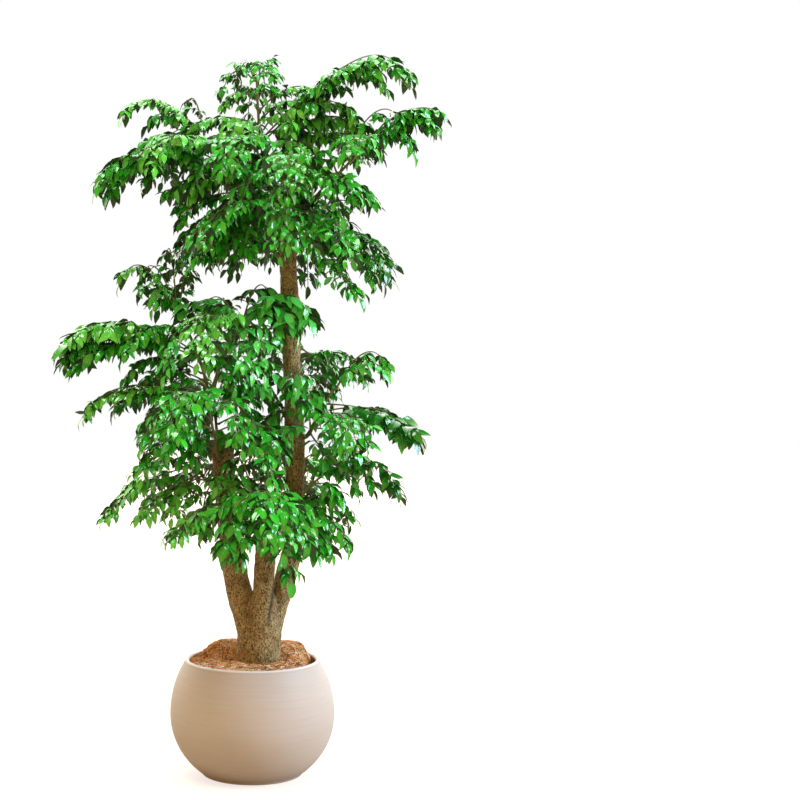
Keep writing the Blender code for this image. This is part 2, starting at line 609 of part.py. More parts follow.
def build_leaf(leaf, surfaces, routes, finish):
    """A compound leaf: a bare stalk, then pairs of leaflets and one at the tip."""
    heading = np.array((math.cos(math.radians(leaf.azimuth)), math.sin(math.radians(leaf.azimuth)), 0.0))
    side = np.cross((0.0, 0.0, 1.0), heading)
    inside, along = point_along(routes[leaf.shoot], min(leaf.at, 0.99))
    outward = along if leaf.at >= 1.0 else heading - along * np.dot(heading, along)
    seat, normal = seat_on(surfaces[leaf.shoot], inside, outward)
    foot = seat + normal * LEAF_FOOT

    spacing = (1.0 - PETIOLE_SHARE) / (leaf.pairs + PAIR_TRAIL)
    bare = [0.0, PETIOLE_SHARE * 0.5]
    pairs = []
    for index in range(leaf.pairs):
        start = PETIOLE_SHARE + spacing * (index + PAIR_LEAD)
        pairs += [start, start + spacing * LEAFLET_FOOT_SHARE]
    route = np.vstack([seat, arch(foot, heading, leaf, bare + pairs + [STALK_END])])
    ahead = directions_along(route)
    ahead[0] = normal
    widths = np.linspace(RACHIS_WIDTH, RACHIS_TIP_WIDTH, len(route))

    shape = LeafShape()
    sections = [shape.section(*row, side) for row in zip(route, ahead, widths)]
    shape.mesh.faces.new(sections[0])
    first_pair = 1 + len(bare)
    lengths = {first_pair + 2 * pair: leaflet_length(leaf, pair / leaf.pairs) for pair in range(leaf.pairs)}
    for index, (near, far) in enumerate(zip(sections, sections[1:])):
        for hand in (LEFT, RIGHT):
            if index in lengths:
                shape.leaflet(near, far, hand, lengths[index])
            else:
                shape.plain_side(near, far, hand)
    shape.end_leaflet(sections[-1], ahead[-1], leaflet_length(leaf, 1.0))
    return finished(leaf.name, shape.mesh, finish, smooth=False)


# ---------------------------------------------------------------- the whole plant
def clear_scene():
    """Remove every object that the file starts with."""
    for thing in list(bpy.data.objects):
        bpy.data.objects.remove(thing, do_unlink=True)


def main():
    """Build every piece in the order in which one carries the next."""
    clear_scene()
    build_pot(material("matte cream ceramic", (0.66, 0.56, 0.45), 0.62))
    build_soil(material("damp potting soil", (0.045, 0.030, 0.020), 0.95))
    build_mulch(material("coir fibre", (0.36, 0.20, 0.10), 0.90))
    trunk = build_trunk(material("old bark", (0.21, 0.16, 0.085), 0.85))
    bpy.context.view_layer.update()

    trunk_surface = surface_of(trunk)
    surfaces = {stem.name: trunk_surface for stem in STEMS}
    routes = {stem.name: np.array(stem.route)[:, :3] for stem in STEMS}
    green_bark = material("young bark", (0.20, 0.16, 0.08), 0.75)
    for shoot in SHOOTS:
        made, routes[shoot.name] = build_shoot(shoot, surfaces, routes, green_bark)
        surfaces[shoot.name] = surface_of(made)

    leaf_green = material("glossy leaf", (0.065, 0.22, 0.035), 0.35)
    for leaf in LEAVES:
        build_leaf(leaf, surfaces, routes, leaf_green)


main()
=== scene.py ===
"""The looks of a potted china doll plant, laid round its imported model.

The plant is an old stock: a fused trunk of three pruned stems, young shoots from their cut ends, and
arching compound leaves with glossy, pointed leaflets. It stands in a matte ball planter under a layer of
coir. Everything is in metres, +Z up, with -Y in front, and the pot's foot is centred on the origin.
"""

from __future__ import annotations

import itertools
import json
import logging
import math
from collections.abc import Mapping, Sequence
from dataclasses import dataclass, field, replace
from enum import Enum

import bpy
import numpy as np
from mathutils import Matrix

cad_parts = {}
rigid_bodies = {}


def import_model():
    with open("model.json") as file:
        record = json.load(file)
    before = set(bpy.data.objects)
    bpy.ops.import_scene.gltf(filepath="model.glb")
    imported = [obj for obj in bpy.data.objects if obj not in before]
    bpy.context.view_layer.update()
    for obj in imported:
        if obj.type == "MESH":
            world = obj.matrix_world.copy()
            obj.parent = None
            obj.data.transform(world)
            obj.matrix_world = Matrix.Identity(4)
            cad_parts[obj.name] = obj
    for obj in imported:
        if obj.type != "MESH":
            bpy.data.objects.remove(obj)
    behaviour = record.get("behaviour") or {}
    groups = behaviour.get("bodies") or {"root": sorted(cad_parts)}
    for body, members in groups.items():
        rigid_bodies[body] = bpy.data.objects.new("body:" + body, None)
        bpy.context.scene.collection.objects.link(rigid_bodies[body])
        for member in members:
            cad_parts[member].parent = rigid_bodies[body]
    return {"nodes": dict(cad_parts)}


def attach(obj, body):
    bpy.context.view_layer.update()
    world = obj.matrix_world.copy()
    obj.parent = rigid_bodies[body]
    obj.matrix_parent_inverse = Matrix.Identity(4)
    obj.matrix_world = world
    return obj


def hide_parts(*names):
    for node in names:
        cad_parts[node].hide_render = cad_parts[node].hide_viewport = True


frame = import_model()

log = logging.getLogger("china_doll_plant")

Socket = bpy.types.NodeSocket

BODY = "root"
UP = np.array((0.0, 0.0, 1.0))
LEAF_MAP = "leaf"  # the map that the patterns of leaves and fibres read
BAKE_MAP = "OFBake"  # the same places again, for the export's bake
MAP_CELLS = 4  # both maps have this many cells a side, and each copy of a shape fills one cell
ANY_SIDE = np.array((1.0, 0.0, 0.0))  # where the first point of an upright tube's rings lies
# Large primes that turn a place on a lattice into a number with no pattern.
AXIS_PRIMES = (73856093, 19349663, 83492791)
SEED_PRIME = 2654435761
STIRRINGS = ((13, 1274126177), (16, 668265263))  # each a shift in bits and a prime


# ---------------------------------------------------------------- numbers and curves
def linear(colour: str) -> tuple[float, float, float, float]:
    """Turn an sRGB hex colour into linear red, green, blue and alpha.

    Args:
        colour: Six hex digits, such as "8FA364".

    Returns:
        The linear colour, with full alpha.
    """
    parts = [int(colour[place : place + 2], 16) / 255 for place in (0, 2, 4)]
    red, green, blue = (p / 12.92 if p <= 0.04045 else ((p + 0.055) / 1.055) ** 2.4 for p in parts)
    return red, green, blue, 1.0


def unit(vectors: np.ndarray) -> np.ndarray:
    """Vectors divided by their own lengths."""
    return vectors / np.linalg.norm(vectors, axis=-1, keepdims=True)


def heading(azimuth: float) -> np.ndarray:
    """Level unit vector at an azimuth in degrees, 0 to the right and 90 to the back."""
    turn = math.radians(azimuth)
    return np.array((math.cos(turn), math.sin(turn), 0.0))


def turns(count: int) -> np.ndarray:
    """Angles of so many even steps round a circle, from 0."""
    return np.arange(count) * 2.0 * np.pi / count


def smooth_route(points: np.ndarray, count: int) -> np.ndarray:
    """Points at equal parameters along a Catmull-Rom curve.

    In words: between two given points the curve is the cubic that passes both, and its slope at each is
    half the step from the point before it to the point after it.

    Args:
        points: Given points, one a row. Columns past the third, such as a radius, are smoothed with them.
        count: How many points to return.

    Returns:
        The curve's points, one a row.
    """
    padded = np.vstack([2 * points[0] - points[1], points, 2 * points[-1] - points[-2]])
    places = np.linspace(0.0, len(points) - 1.0, count)
    span = np.minimum(places.astype(int), len(points) - 2)
    t = (places - span)[:, None]
    before, start, end, after = (padded[span + step] for step in range(4))
    return 0.5 * (
        2 * start
        + (end - before) * t
        + (2 * before - 5 * start + 4 * end - after) * t**2
        + (3 * start - before - 3 * end + after) * t**3
    )


def along(route: np.ndarray) -> np.ndarray:
    """Unit directions of a route at each of its points."""
    return unit(np.gradient(route, axis=-2))


def at_share(route: np.ndarray, shares: np.ndarray | float) -> np.ndarray:
    """Points at shares of a route's length.

    Args:
        route: Points of the route, one a row.
        shares: Shares from 0 to 1.

    Returns:
        One row for each share, with as many columns as the route has.
    """
    steps = np.linalg.norm(np.diff(route[:, :3], axis=0), axis=1)
    travelled = np.concatenate([[0.0], np.cumsum(steps)]) / steps.sum()
    return np.stack([np.interp(shares, travelled, column) for column in route.T], axis=-1)


def lattice_noise(points: np.ndarray, grain: float, seed: int) -> np.ndarray:
    """Smooth random values between -1 and 1.

    In words: each corner of a cubic lattice gets a random value from its whole-number place, and a point
    takes the mix of the eight corners round it, weighted by smooth steps.

    Args:
        points: Places, one a row.
        grain: Edge of a lattice cube in metres.
        seed: Picks one of many noises.

    Returns:
        One value for each place.
    """
    place = points / grain
    low = np.floor(place).astype(np.int64)
    part = place - low
    part = part * part * (3.0 - 2.0 * part)
    total = np.zeros(len(points))
    for corner in itertools.product((0, 1), repeat=3):
        weight = np.prod(np.where(np.array(corner) == 1, part, 1.0 - part), axis=1)
        key = ((low + corner) * AXIS_PRIMES).sum(axis=1) + seed * SEED_PRIME
        for shift, prime in STIRRINGS:
            key = (key ^ (key >> shift)) * prime & 0xFFFFFFFF
        total += weight * (key / 0x7FFFFFFF - 1.0)
    return total


# ---------------------------------------------------------------- meshes
def grid_quads(rows: int, columns: int, wrapped: bool = True) -> np.ndarray:
    """Corner numbers of the quads between neighbouring points of a grid.

    Args:
        rows: Rows of points.
        columns: Points in a row.
        wrapped: Whether the last column joins the first.

    Returns:
        Four corner numbers for each quad. They run anticlockwise seen from outside where the rows climb
        and each row runs anticlockwise seen from above.
    """
    row = np.arange(rows - 1)[:, None]
    column = np.arange(columns if wrapped else columns - 1)[None, :]
    near = row * columns + column
    beside = row * columns + (column + 1) % columns
    return np.stack([near, beside, beside + columns, near + columns], axis=-1).reshape(-1, 4)


class Shell:
    """Gathers points, faces and map places, and lays them in one mesh."""

    def __init__(self) -> None:
        """Start with nothing gathered."""
        self.points: list[np.ndarray] = []
        self.faces: list[np.ndarray] = []
        self.places: list[np.ndarray] = []
        self.count = 0

    def add(self, points: np.ndarray, faces: Sequence[np.ndarray], places: Sequence[np.ndarray] = ()) -> None:
        """Add points and the faces between them.

        Args:
            points: An array of any shape whose last axis is x, y and z.
            faces: Arrays of corner numbers into these points, each with one row a face.
            places: For each array of faces, the map places of its corners.
        """
        flat = np.asarray(points, dtype=float).reshape(-1, 3)
        self.points.append(flat)
        self.faces.extend(np.asarray(corners) + self.count for corners in faces)
        self.places.extend(np.asarray(place, dtype=float).reshape(-1, 2) for place in places)
        self.count += len(flat)

    def lay(self, name: str, sharp: float | None = None) -> bpy.types.Object:
        """Make one smooth-shaded object of everything gathered.

        Args:
            name: The object's name.
            sharp: Edges that bend by more than this many degrees stay sharp.

        Returns:
            The new object, at the origin.
        """
        mesh = bpy.data.meshes.new(name)
        points = np.concatenate(self.points)
        corners = np.concatenate([faces.ravel() for faces in self.faces])
        sizes = np.concatenate([np.full(len(faces), faces.shape[1]) for faces in self.faces])
        mesh.vertices.add(len(points))
        mesh.vertices.foreach_set("co", points.ravel())
        mesh.loops.add(len(corners))
        mesh.loops.foreach_set("vertex_index", corners.astype(np.int32))
        mesh.polygons.add(len(sizes))
        mesh.polygons.foreach_set("loop_start", (np.cumsum(sizes) - sizes).astype(np.int32))
        if self.places:
            places = np.concatenate(self.places).ravel()
            for layer in (LEAF_MAP, BAKE_MAP):
                mesh.uv_layers.new(name=layer).data.foreach_set("uv", places)
        mesh.update(calc_edges=True)
        mesh.shade_smooth()
        if sharp is not None:
            mesh.set_sharp_from_angle(angle=math.radians(sharp))
        made = bpy.data.objects.new(name, mesh)
        bpy.context.collection.objects.link(made)
        return made


def tube(route: np.ndarray, radii: np.ndarray, sides: int, across: np.ndarray) -> np.ndarray:
    """Rings of points round one route or several.

    In words: each ring is a circle square to the route, and its first point lies towards the direction
    across, less what of it runs along the route.

    Args:
        route: Points of the routes, in the last two axes.
        radii: A radius for each point.
        sides: Points in a ring.
        across: A direction that no route runs along, for all routes or for each.

    Returns:
        An array with the routes' axes, then ring, side and x, y, z.
    """
    ahead = along(route)
    across = np.broadcast_to(across, ahead.shape)
    across = unit(across - ahead * (across * ahead).sum(axis=-1, keepdims=True))
    beside = np.cross(ahead, across)
    turn = turns(sides)
    ring = np.cos(turn)[:, None] * across[..., None, :] + np.sin(turn)[:, None] * beside[..., None, :]
    return route[..., None, :] + radii[..., None, None] * ring


def tube_faces(rings: int, sides: int) -> tuple[np.ndarray, np.ndarray]:
    """Faces of one closed tube whose two ends are fans about their first points.

    Args:
        rings: How many rings the tube has.
        sides: Points in a ring.

    Returns:
        The wall's quads and the ends' triangles.
    """
    step = np.arange(1, sides - 1)
    foot = np.stack([np.zeros_like(step), step + 1, step], axis=-1)
    tip = np.stack([np.zeros_like(step), step, step + 1], axis=-1) + (rings - 1) * sides
    return grid_quads(rings, sides), np.concatenate([foot, tip])


def add_tubes(shell: Shell, rings: np.ndarray, cell: tuple[int, int]) -> None:
    """Add closed tubes to a shell, each drawn with one cell of the map.

    Args:
        shell: Where the tubes go.
        rings: Points by tube, ring, side and x, y, z.
        cell: Column and row of the map's cell.
    """
    tubes, ring_count, sides = rings.shape[:3]
    quads, ends = tube_faces(ring_count, sides)
    start = (np.arange(tubes) * ring_count * sides)[:, None, None]
    # each tube stays clear of its cell's border, and its far side mirrors the near one
    share_along = np.repeat(np.linspace(0.06, 0.94, ring_count), sides)
    share_round = np.tile(np.abs(np.linspace(-0.9, 0.9, sides)), ring_count)
    local = (np.stack([share_round, share_along], axis=-1) + cell) / MAP_CELLS
    faces = [(corners[None] + start).reshape(-1, corners.shape[1]) for corners in (quads, ends)]
    places = [np.tile(local[corners], (tubes, 1, 1)) for corners in (quads, ends)]
    shell.add(rings, faces, places)


# ---------------------------------------------------------------- material nodes
class Nodes:
    """A node tree, and what the finishes and the studio add to it."""

    def __init__(self, tree: bpy.types.NodeTree) -> None:
        """Work on a tree as it stands."""
        self.tree = tree

    def feed(self, socket: Socket, value: object) -> None:
        """Give an input socket its value.

        Args:
            socket: The input socket.
            value: A number or numbers, an sRGB hex colour, or the output socket that feeds it.
        """
        if isinstance(value, Socket):
            self.tree.links.new(value, socket)
        else:
            socket.default_value = linear(value) if isinstance(value, str) else value

    def add(
        self,
        kind: str,
        settings: Mapping[str, object] | None = None,
        inputs: Mapping[str | int, object] | None = None,
    ) -> bpy.types.NodeOutputs:
        """Add a shader node with its settings and links.

        Args:
            kind: The node's type name, without "ShaderNode".
            settings: Properties of the node.
            inputs: Sockets by name or number, each with what feed takes.

        Returns:
            The new node's outputs.
        """
        made = self.tree.nodes.new(f"ShaderNode{kind}")
        for name, value in (settings or {}).items():
            setattr(made, name, value)
        for name, value in (inputs or {}).items():
            self.feed(made.inputs[name], value)
        return made.outputs

    def shade(self, name: str, value: object) -> None:
        """Set or feed one input of the Principled shader, by its name."""
        self.feed(self.tree.nodes["Principled BSDF"].inputs[name], value)

    def places(self) -> Socket:
        """Places in the object's own coordinates, in metres."""
        return self.add("TexCoord")["Object"]

    def stretched(self, places: Socket, scale: Sequence[float], turn: float = 0.0) -> Socket:
        """Places scaled along each axis, after a turn about the upright one in radians."""
        return self.add("Mapping", None, {"Vector": places, "Rotation": (0.0, 0.0, turn), "Scale": scale})[0]

    def noise(self, places: Socket, scale: float, detail: float, rough: float = 0.5) -> Socket:
        """Smooth random values about a half, with so many patches a metre and so many finer layers."""
        inputs = {"Vector": places, "Scale": scale, "Detail": detail, "Roughness": rough}
        return self.add("TexNoise", None, inputs)[0]

    def cells(self, places: Socket, scale: float) -> Socket:
        """Distance from the middle of the nearest of many small cells, so many a metre."""
        return self.add("TexVoronoi", None, {"Vector": places, "Scale": scale})["Distance"]

    def reckon(self, operation: str, *values: object) -> Socket:
        """The result of one operation on numbers or sockets."""
        return self.add("Math", {"operation": operation}, dict(enumerate(values)))[0]

    def spread(
        self, value: Socket, start: Sequence[float], end: Sequence[float], smooth: bool = False
    ) -> Socket:
        """Carry a value from one range over to another, and hold it at the ends.

        Args:
            value: The value.
            start: The range that it comes from.
            end: What the ends of that range become.
            smooth: Whether it leaves each end gently.

        Returns:
            The new value.
        """
        shape = {"interpolation_type": "SMOOTHSTEP" if smooth else "LINEAR"}
        return self.add("MapRange", shape, {"Value": value, "From Min": start[0], "From Max": start[1],
                                            "To Min": end[0], "To Max": end[1]})[0]

    def blend(self, share: object, first: object, second: object) -> Socket:
        """Two colours mixed: the first at share 0 and the second at 1."""
        return self.add("Mix", {"data_type": "RGBA"}, {"Factor": share, "A": first, "B": second})["Result"]

    def ramp(self, value: Socket, *stops: tuple[float, str]) -> Socket:
        """Turn a value into colours.

        Args:
            value: The value.
            stops: Places from 0 to 1 with sRGB hex colours, in order.

        Returns:
            The colour.
        """
        colour = self.add("ValToRGB", None, {"Fac": value})["Color"]
        elements = colour.node.color_ramp.elements
        while len(elements) < len(stops):
            elements.new(1.0)
        for element, (place, shade) in zip(elements, stops):
            element.position = place
            element.color = linear(shade)
        return colour

    def emboss(self, height: Socket, strength: float, depth: float, sunken: bool = False) -> None:
        """Give the shader relief too fine to model.

        Args:
            height: Values from 0 to 1.
            strength: How much of the relief the light sees, from 0 to 1.
            depth: What 1 stands for, in metres.
            sunken: Whether 1 is the lowest place, and not the highest.
        """
        relief = {"Height": height, "Strength": strength, "Distance": depth}
        self.shade("Normal", self.add("Bump", {"invert": sunken}, relief)[0])

    def map_cell(self) -> tuple[Socket, Socket, Socket]:
        """Read the leaf map.

        Returns:
            The place in cells, its cell, and a random value from 0 to 1 that belongs to that cell.
        """
        places = self.add("UVMap", {"uv_map": LEAF_MAP})["UV"]
        scaled = self.add("VectorMath", {"operation": "SCALE"}, {0: places, "Scale": MAP_CELLS})[0]
        cell = self.add("VectorMath", {"operation": "FLOOR"}, {0: scaled})[0]
        tone = self.add("TexWhiteNoise", {"noise_dimensions": "2D"}, {"Vector": cell})["Value"]
        return scaled, cell, tone


# ---------------------------------------------------------------- finishes
@dataclass(frozen=True, kw_only=True)
class Finish:
    """What all finishes share: a named material of one roughness, with a colour of its own."""

    name: str
    roughness: float

    def draw(self, nodes: Nodes) -> Socket | str:
        """Add the finish's own nodes.

        Args:
            nodes: The material's nodes.

        Returns:
            The colour, as a socket or in sRGB hex.
        """
        raise NotImplementedError

    def material(self) -> bpy.types.Material:
        """Make the material.

        Returns:
            The new material, with the finish's nodes.
        """
        made = bpy.data.materials.new(self.name)
        made.use_nodes = True
        nodes = Nodes(made.node_tree)
        nodes.shade("Roughness", self.roughness)
        nodes.shade("Base Color", self.draw(nodes))
        return made


@dataclass(frozen=True, kw_only=True)
class GlossyLeaf(Finish):
    """Leaf cuticle: a waxy green skin over the blade, with paler veins and a dull underside, darker than its
    own green as painted shade.

    The wax gives small, sharp highlights, and the blade's tone changes from leaflet to leaflet, partly as
    painted light and shade between a sunny green and a deep one.
    """

    # sunny is painted light, the green of a leaflet in sun; deep is the darkest green, partly the leaf's own
    # and partly painted shade
    sunny: str
    deep: str
    vein: str
    roughness: float = 0.13
    # the underside's green, darkened as painted shade
    underside: str = "1E5012"
    stalk: str = "66752F"
    dull: float = 0.62  # roughness of the underside, which has no wax
    gloss: float = 0.9  # specular level: a fresh wax gives off nearly twice the usual light
    wax_bend: float = 1.5  # refractive index
    mottle: float = 0.35  # how far the tone wanders within one blade
    rib_width: float = 0.055  # the midrib's fade, over the width of the blade
    rib_show: float = 0.7
    vein_pairs: float = 7.0
    vein_slant: float = 0.52  # how far a side vein climbs towards the margin
    vein_crest: float = 0.72  # only the crest of each wave shows as a vein
    vein_show: float = 0.28
    vein_relief: float = 0.25
    vein_depth: float = 0.0003

    def draw(self, nodes: Nodes) -> Socket:
        """Draw the blade in the leaf map.

        In words: the midrib fades with the distance from it, and the side veins are the crests of a wave
        along the blade that lags with that distance. Cells of the lowest row are the underside, and the
        last of them is the stalk.

        Args:
            nodes: The material's nodes.

        Returns:
            The colour.
        """
        scaled, cell, tone = nodes.map_cell()
        local = nodes.add("VectorMath", {"operation": "FRACTION"}, {0: scaled})[0]
        column, row = nodes.add("SeparateXYZ", None, {0: cell})[:2]
        across, lengthwise = nodes.add("SeparateXYZ", None, {0: local})[:2]
        aside = nodes.reckon("ABSOLUTE", nodes.reckon("SUBTRACT", across, 0.5))
        rib = nodes.spread(aside, (0.0, self.rib_width), (self.rib_show, 0.0), smooth=True)
        lagging = nodes.reckon("MULTIPLY_ADD", aside, -self.vein_slant, lengthwise)
        crest = nodes.reckon("SINE", nodes.reckon("MULTIPLY", lagging, 2.0 * math.pi * self.vein_pairs))
        veins = nodes.spread(crest, (self.vein_crest, 1.0), (0.0, self.vein_show), smooth=True)
        drawn = nodes.reckon("MAXIMUM", rib, veins)
        # each leaflet's green lies at random between deep and sunny: its own tone, and also painted light and
        # shade
        sun_and_shade_share = nodes.reckon("MULTIPLY_ADD", nodes.noise(scaled, 3.0, 3.0), self.mottle, tone)
        upper = nodes.blend(drawn, nodes.blend(sun_and_shade_share, self.deep, self.sunny), self.vein)
        under = nodes.reckon("LESS_THAN", row, 0.5)
        is_stalk = nodes.reckon("MULTIPLY", under, nodes.reckon("GREATER_THAN", column, MAP_CELLS - 1.5))
        nodes.shade("Roughness", nodes.spread(under, (0.0, 1.0), (self.roughness, self.dull)))
        nodes.shade("Specular IOR Level", self.gloss)
        nodes.shade("IOR", self.wax_bend)
        nodes.emboss(drawn, self.vein_relief, self.vein_depth, sunken=True)
        return nodes.blend(is_stalk, nodes.blend(under, upper, self.underside), self.stalk)


class Tone(Enum):
    """The four tones of foliage, from the light green of new leaves to the dark green of old ones. They are
    also painted light: lighter tones stand on leaves that the lamps light too little, and the deep tone on
    leaves in shade.
    """

    FRESH = GlossyLeaf(name="fresh glossy leaf", sunny="5AF05E", deep="10A422", vein="92F08C")
    YOUNG = GlossyLeaf(name="young glossy leaf", sunny="64E046", deep="128A10", vein="8AE468")
    MATURE = GlossyLeaf(name="mature glossy leaf", sunny="34C828", deep="035002", vein="68C850")
    DEEP = GlossyLeaf(name="deep glossy leaf", sunny="1A861A", deep="022C02", vein="50A03C")


@dataclass(frozen=True)
class YoungBark(Finish):
    """Bark of one or two years: smooth, green-brown, with pale breathing pores about 1.5 mm long."""

    name: str = "young green-brown bark"
    roughness: float = 0.62
    green: str = "66803A"
    brown: str = "73663A"
    pore: str = "A89A6E"
    patch_scale: float = 28.0  # this and the scales below are a number in each metre
    pore_scale: float = 300.0
    pore_show: float = 0.7
    relief: float = 0.001

    def draw(self, nodes: Nodes) -> Socket:
        """Draw patches of green and brown, with pores at the middles of small cells.

        Args:
            nodes: The material's nodes.

        Returns:
            The colour.
        """
        places = nodes.places()
        patches = nodes.noise(places, self.patch_scale, 4.0)
        pores = nodes.spread(nodes.cells(places, self.pore_scale), (0.16, 0.26), (self.pore_show, 0.0))
        nodes.emboss(patches, 0.5, self.relief)
        return nodes.blend(pores, nodes.ramp(patches, (0.38, self.green), (0.62, self.brown)), self.pore)


@dataclass(frozen=True)
class OldBark(Finish):
    """Bark of an old stock: rough, olive and brown, with dark specks 2 to 4 mm across.

    Its fine grain scatters light, so it has no gloss, and rusty patches show where the skin has flaked.
    """

    name: str = "old speckled bark"
    roughness: float = 0.88
    light: str = "C0AD76"
    olive: str = "857A46"
    # the specks' own dark brown, which is also painted into the furrow as painted shade
    dark: str = "1E1309"
    rust: str = "A85A34"
    cut: str = "ADA679"
    speck_scale: float = 330.0
    patch_scale: float = 22.0
    rust_scale: float = 46.0
    rust_show: float = 0.55
    relief: float = 0.0025

    def draw(self, nodes: Nodes) -> Socket:
        """Draw broad patches, specks over them, rust, painted shade in the furrow and the sawn wood.

        The mesh's attribute "cut" is 1 on sawn wood, and its attribute "groove" is 1 in the furrow, where the
        dark is painted shade.

        Args:
            nodes: The material's nodes.

        Returns:
            The colour.
        """
        places = nodes.places()
        grain = nodes.noise(nodes.stretched(places, (1.0, 1.0, 0.55)), self.speck_scale, 5.0, 0.78)
        patches = nodes.noise(places, self.patch_scale, 4.0, 0.6)
        patches = nodes.ramp(patches, (0.30, self.olive), (0.52, self.light), (0.74, self.olive))
        specks = nodes.ramp(grain, (0.41, "000000"), (0.55, "FFFFFF"))
        flakes = nodes.noise(places, self.rust_scale, 3.0)
        flaked = nodes.spread(flakes, (0.60, 0.72), (0.0, self.rust_show))
        colour = nodes.blend(flaked, nodes.blend(specks, self.dark, patches), self.rust)
        # the furrow is darkened as painted shade; the sawn wood keeps its own paler colour
        for attribute, shade in (("groove", self.dark), ("cut", self.cut)):
            share = nodes.add("Attribute", {"attribute_name": attribute})["Fac"]
            colour = nodes.blend(share, colour, shade)
        nodes.emboss(grain, 0.8, self.relief)
        return colour


@dataclass(frozen=True)
class CoirFibre(Finish):
    """Coconut husk fibre: dry golden-brown strands, each of one tone, from straw to dark brown."""

    name: str = "dry coir fibre"
    roughness: float = 0.8
    stops: tuple[tuple[float, str], ...] = (
        (0.0, "2E1004"), (0.36, "B86A28"), (0.63, "FFC678"), (1.0, "FFF2CE"),
    )
    streak: float = 0.4  # how far the tone wanders along one strand

    def draw(self, nodes: Nodes) -> Socket:
        """Draw each strand in the tone of its cell of the leaf map.

        Args:
            nodes: The material's nodes.

        Returns:
            The colour.
        """
        scaled, _, tone = nodes.map_cell()
        mixed = nodes.reckon("MULTIPLY_ADD", nodes.noise(scaled, 9.0, 2.0), self.streak, tone)
        return nodes.ramp(nodes.reckon("SUBTRACT", mixed, self.streak / 2), *self.stops)


@dataclass(frozen=True)
class CoirBed(Finish):
    """Matted coir under the loose strands: short felted fibres, with painted shade in the hollows between
    them.
    """

    name: str = "matted coir"
    roughness: float = 0.92
    # light is the coir's own brown on the fibres' tops, and dark is painted shade in the hollows
    light: str = "A65C20"
    dark: str = "1A0A03"
    fibre_scale: float = 110.0
    relief: float = 0.003

    def draw(self, nodes: Nodes) -> Socket:
        """Draw fibres that lie in two directions, the higher of them on top, with painted shade in the
        hollows.

        Args:
            nodes: The material's nodes.

        Returns:
            The colour.
        """
        places = nodes.places()
        ways = (((1.0, 7.0, 3.0), 0.7), ((7.0, 1.0, 3.0), -0.6))  # stretch and turn of each
        layers = (nodes.stretched(places, stretch, turn) for stretch, turn in ways)
        crossed = nodes.reckon("MAXIMUM", *(nodes.noise(layer, self.fibre_scale, 3.0) for layer in layers))
        nodes.emboss(crossed, 0.9, self.relief)
        # the same relief sets the colour: its low places get painted shade
        return nodes.ramp(crossed, (0.40, self.dark), (0.70, self.light))


@dataclass(frozen=True)
class DampSoil(Finish):
    """Potting soil: dark crumbs 2 to 5 mm across, with no gloss."""

    name: str = "damp potting soil"
    roughness: float = 0.95
    # the soil's browns: light is painted on the crumbs' tops as painted light, dark between them as painted
    # shade
    dark: str = "1E140C"
    light: str = "45311F"
    crumb_scale: float = 280.0
    relief: float = 0.003

    def draw(self, nodes: Nodes) -> Socket:
        """Draw round crumbs, with painted light on their tops and painted shade between them.

        Args:
            nodes: The material's nodes.

        Returns:
            The colour.
        """
        crumbs = nodes.cells(nodes.places(), self.crumb_scale)
        nodes.emboss(crumbs, 0.9, self.relief, sunken=True)
        # the crumbs' relief sets the colour: painted light on top, painted shade between
        return nodes.ramp(crumbs, (0.1, self.light), (0.6, self.dark))


@dataclass(frozen=True)
class MatteGlaze(Finish):
    """Matte glazed earthenware, turned on a wheel: a soft, even cream with a broad, weak sheen.

    The glaze was brushed on while it turned, which leaves faint level streaks about 3 mm apart, and the
    wheel left marks 6 mm apart, too shallow to see but for a trace in the sheen.
    """

    name: str = "matte cream glaze"
    roughness: float = 0.55
    cream: str = "C9C4B8"
    warm: str = "BDB5A6"
    # the lip above lip_height is painted paler: a painted highlight on the rim's top
    lip: str = "E2E6E4"
    lip_height: float = 0.2755
    lip_fade: float = 0.0015
    streak_stretch: tuple[float, float, float] = (9.0, 9.0, 340.0)
    wheel_stretch: tuple[float, float, float] = (2.0, 2.0, 160.0)
    grit_scale: float = 700.0
    relief: float = 0.0008

    def draw(self, nodes: Nodes) -> Socket:
        """Draw the brushed streaks, a painted highlight on the lip, and the wheel's marks.

        Args:
            nodes: The material's nodes.

        Returns:
            The colour.
        """
        places = nodes.places()
        streaks = nodes.noise(nodes.stretched(places, self.streak_stretch), 1.0, 2.0)
        height = nodes.add("SeparateXYZ", None, {0: places})["Z"]
        # above this height the rim's top takes the painted highlight
        edge = nodes.spread(height, (self.lip_height - self.lip_fade, self.lip_height), (0.0, 1.0))
        marks = nodes.noise(nodes.stretched(places, self.wheel_stretch), 1.0, 2.0)
        rough = nodes.reckon("MULTIPLY_ADD", nodes.noise(places, self.grit_scale, 2.0), 0.25, marks)
        nodes.emboss(rough, 0.22, self.relief)
        return nodes.blend(edge, nodes.blend(streaks, self.cream, self.warm), self.lip)


@dataclass(frozen=True)
class StudioPaper(Finish):
    """Seamless backdrop paper: plain, pale and without gloss.

    It is lit from behind for the eye alone, so shadows stay faint and little light bounces off it.
    """

    name: str = "pale backdrop paper"
    roughness: float = 0.9
    colour: str = "B8A48E"
    shine: str = "FFFFFF"
    shine_strength: float = 0.70

    def draw(self, nodes: Nodes) -> str:
        """Light the paper from behind.

        Args:
            nodes: The material's nodes.

        Returns:
            The paper's colour.
        """
        seen = nodes.add("LightPath")["Is Camera Ray"]
        nodes.shade("Emission Color", self.shine)
        nodes.shade("Emission Strength", nodes.reckon("MULTIPLY", seen, self.shine_strength))
        return self.colour


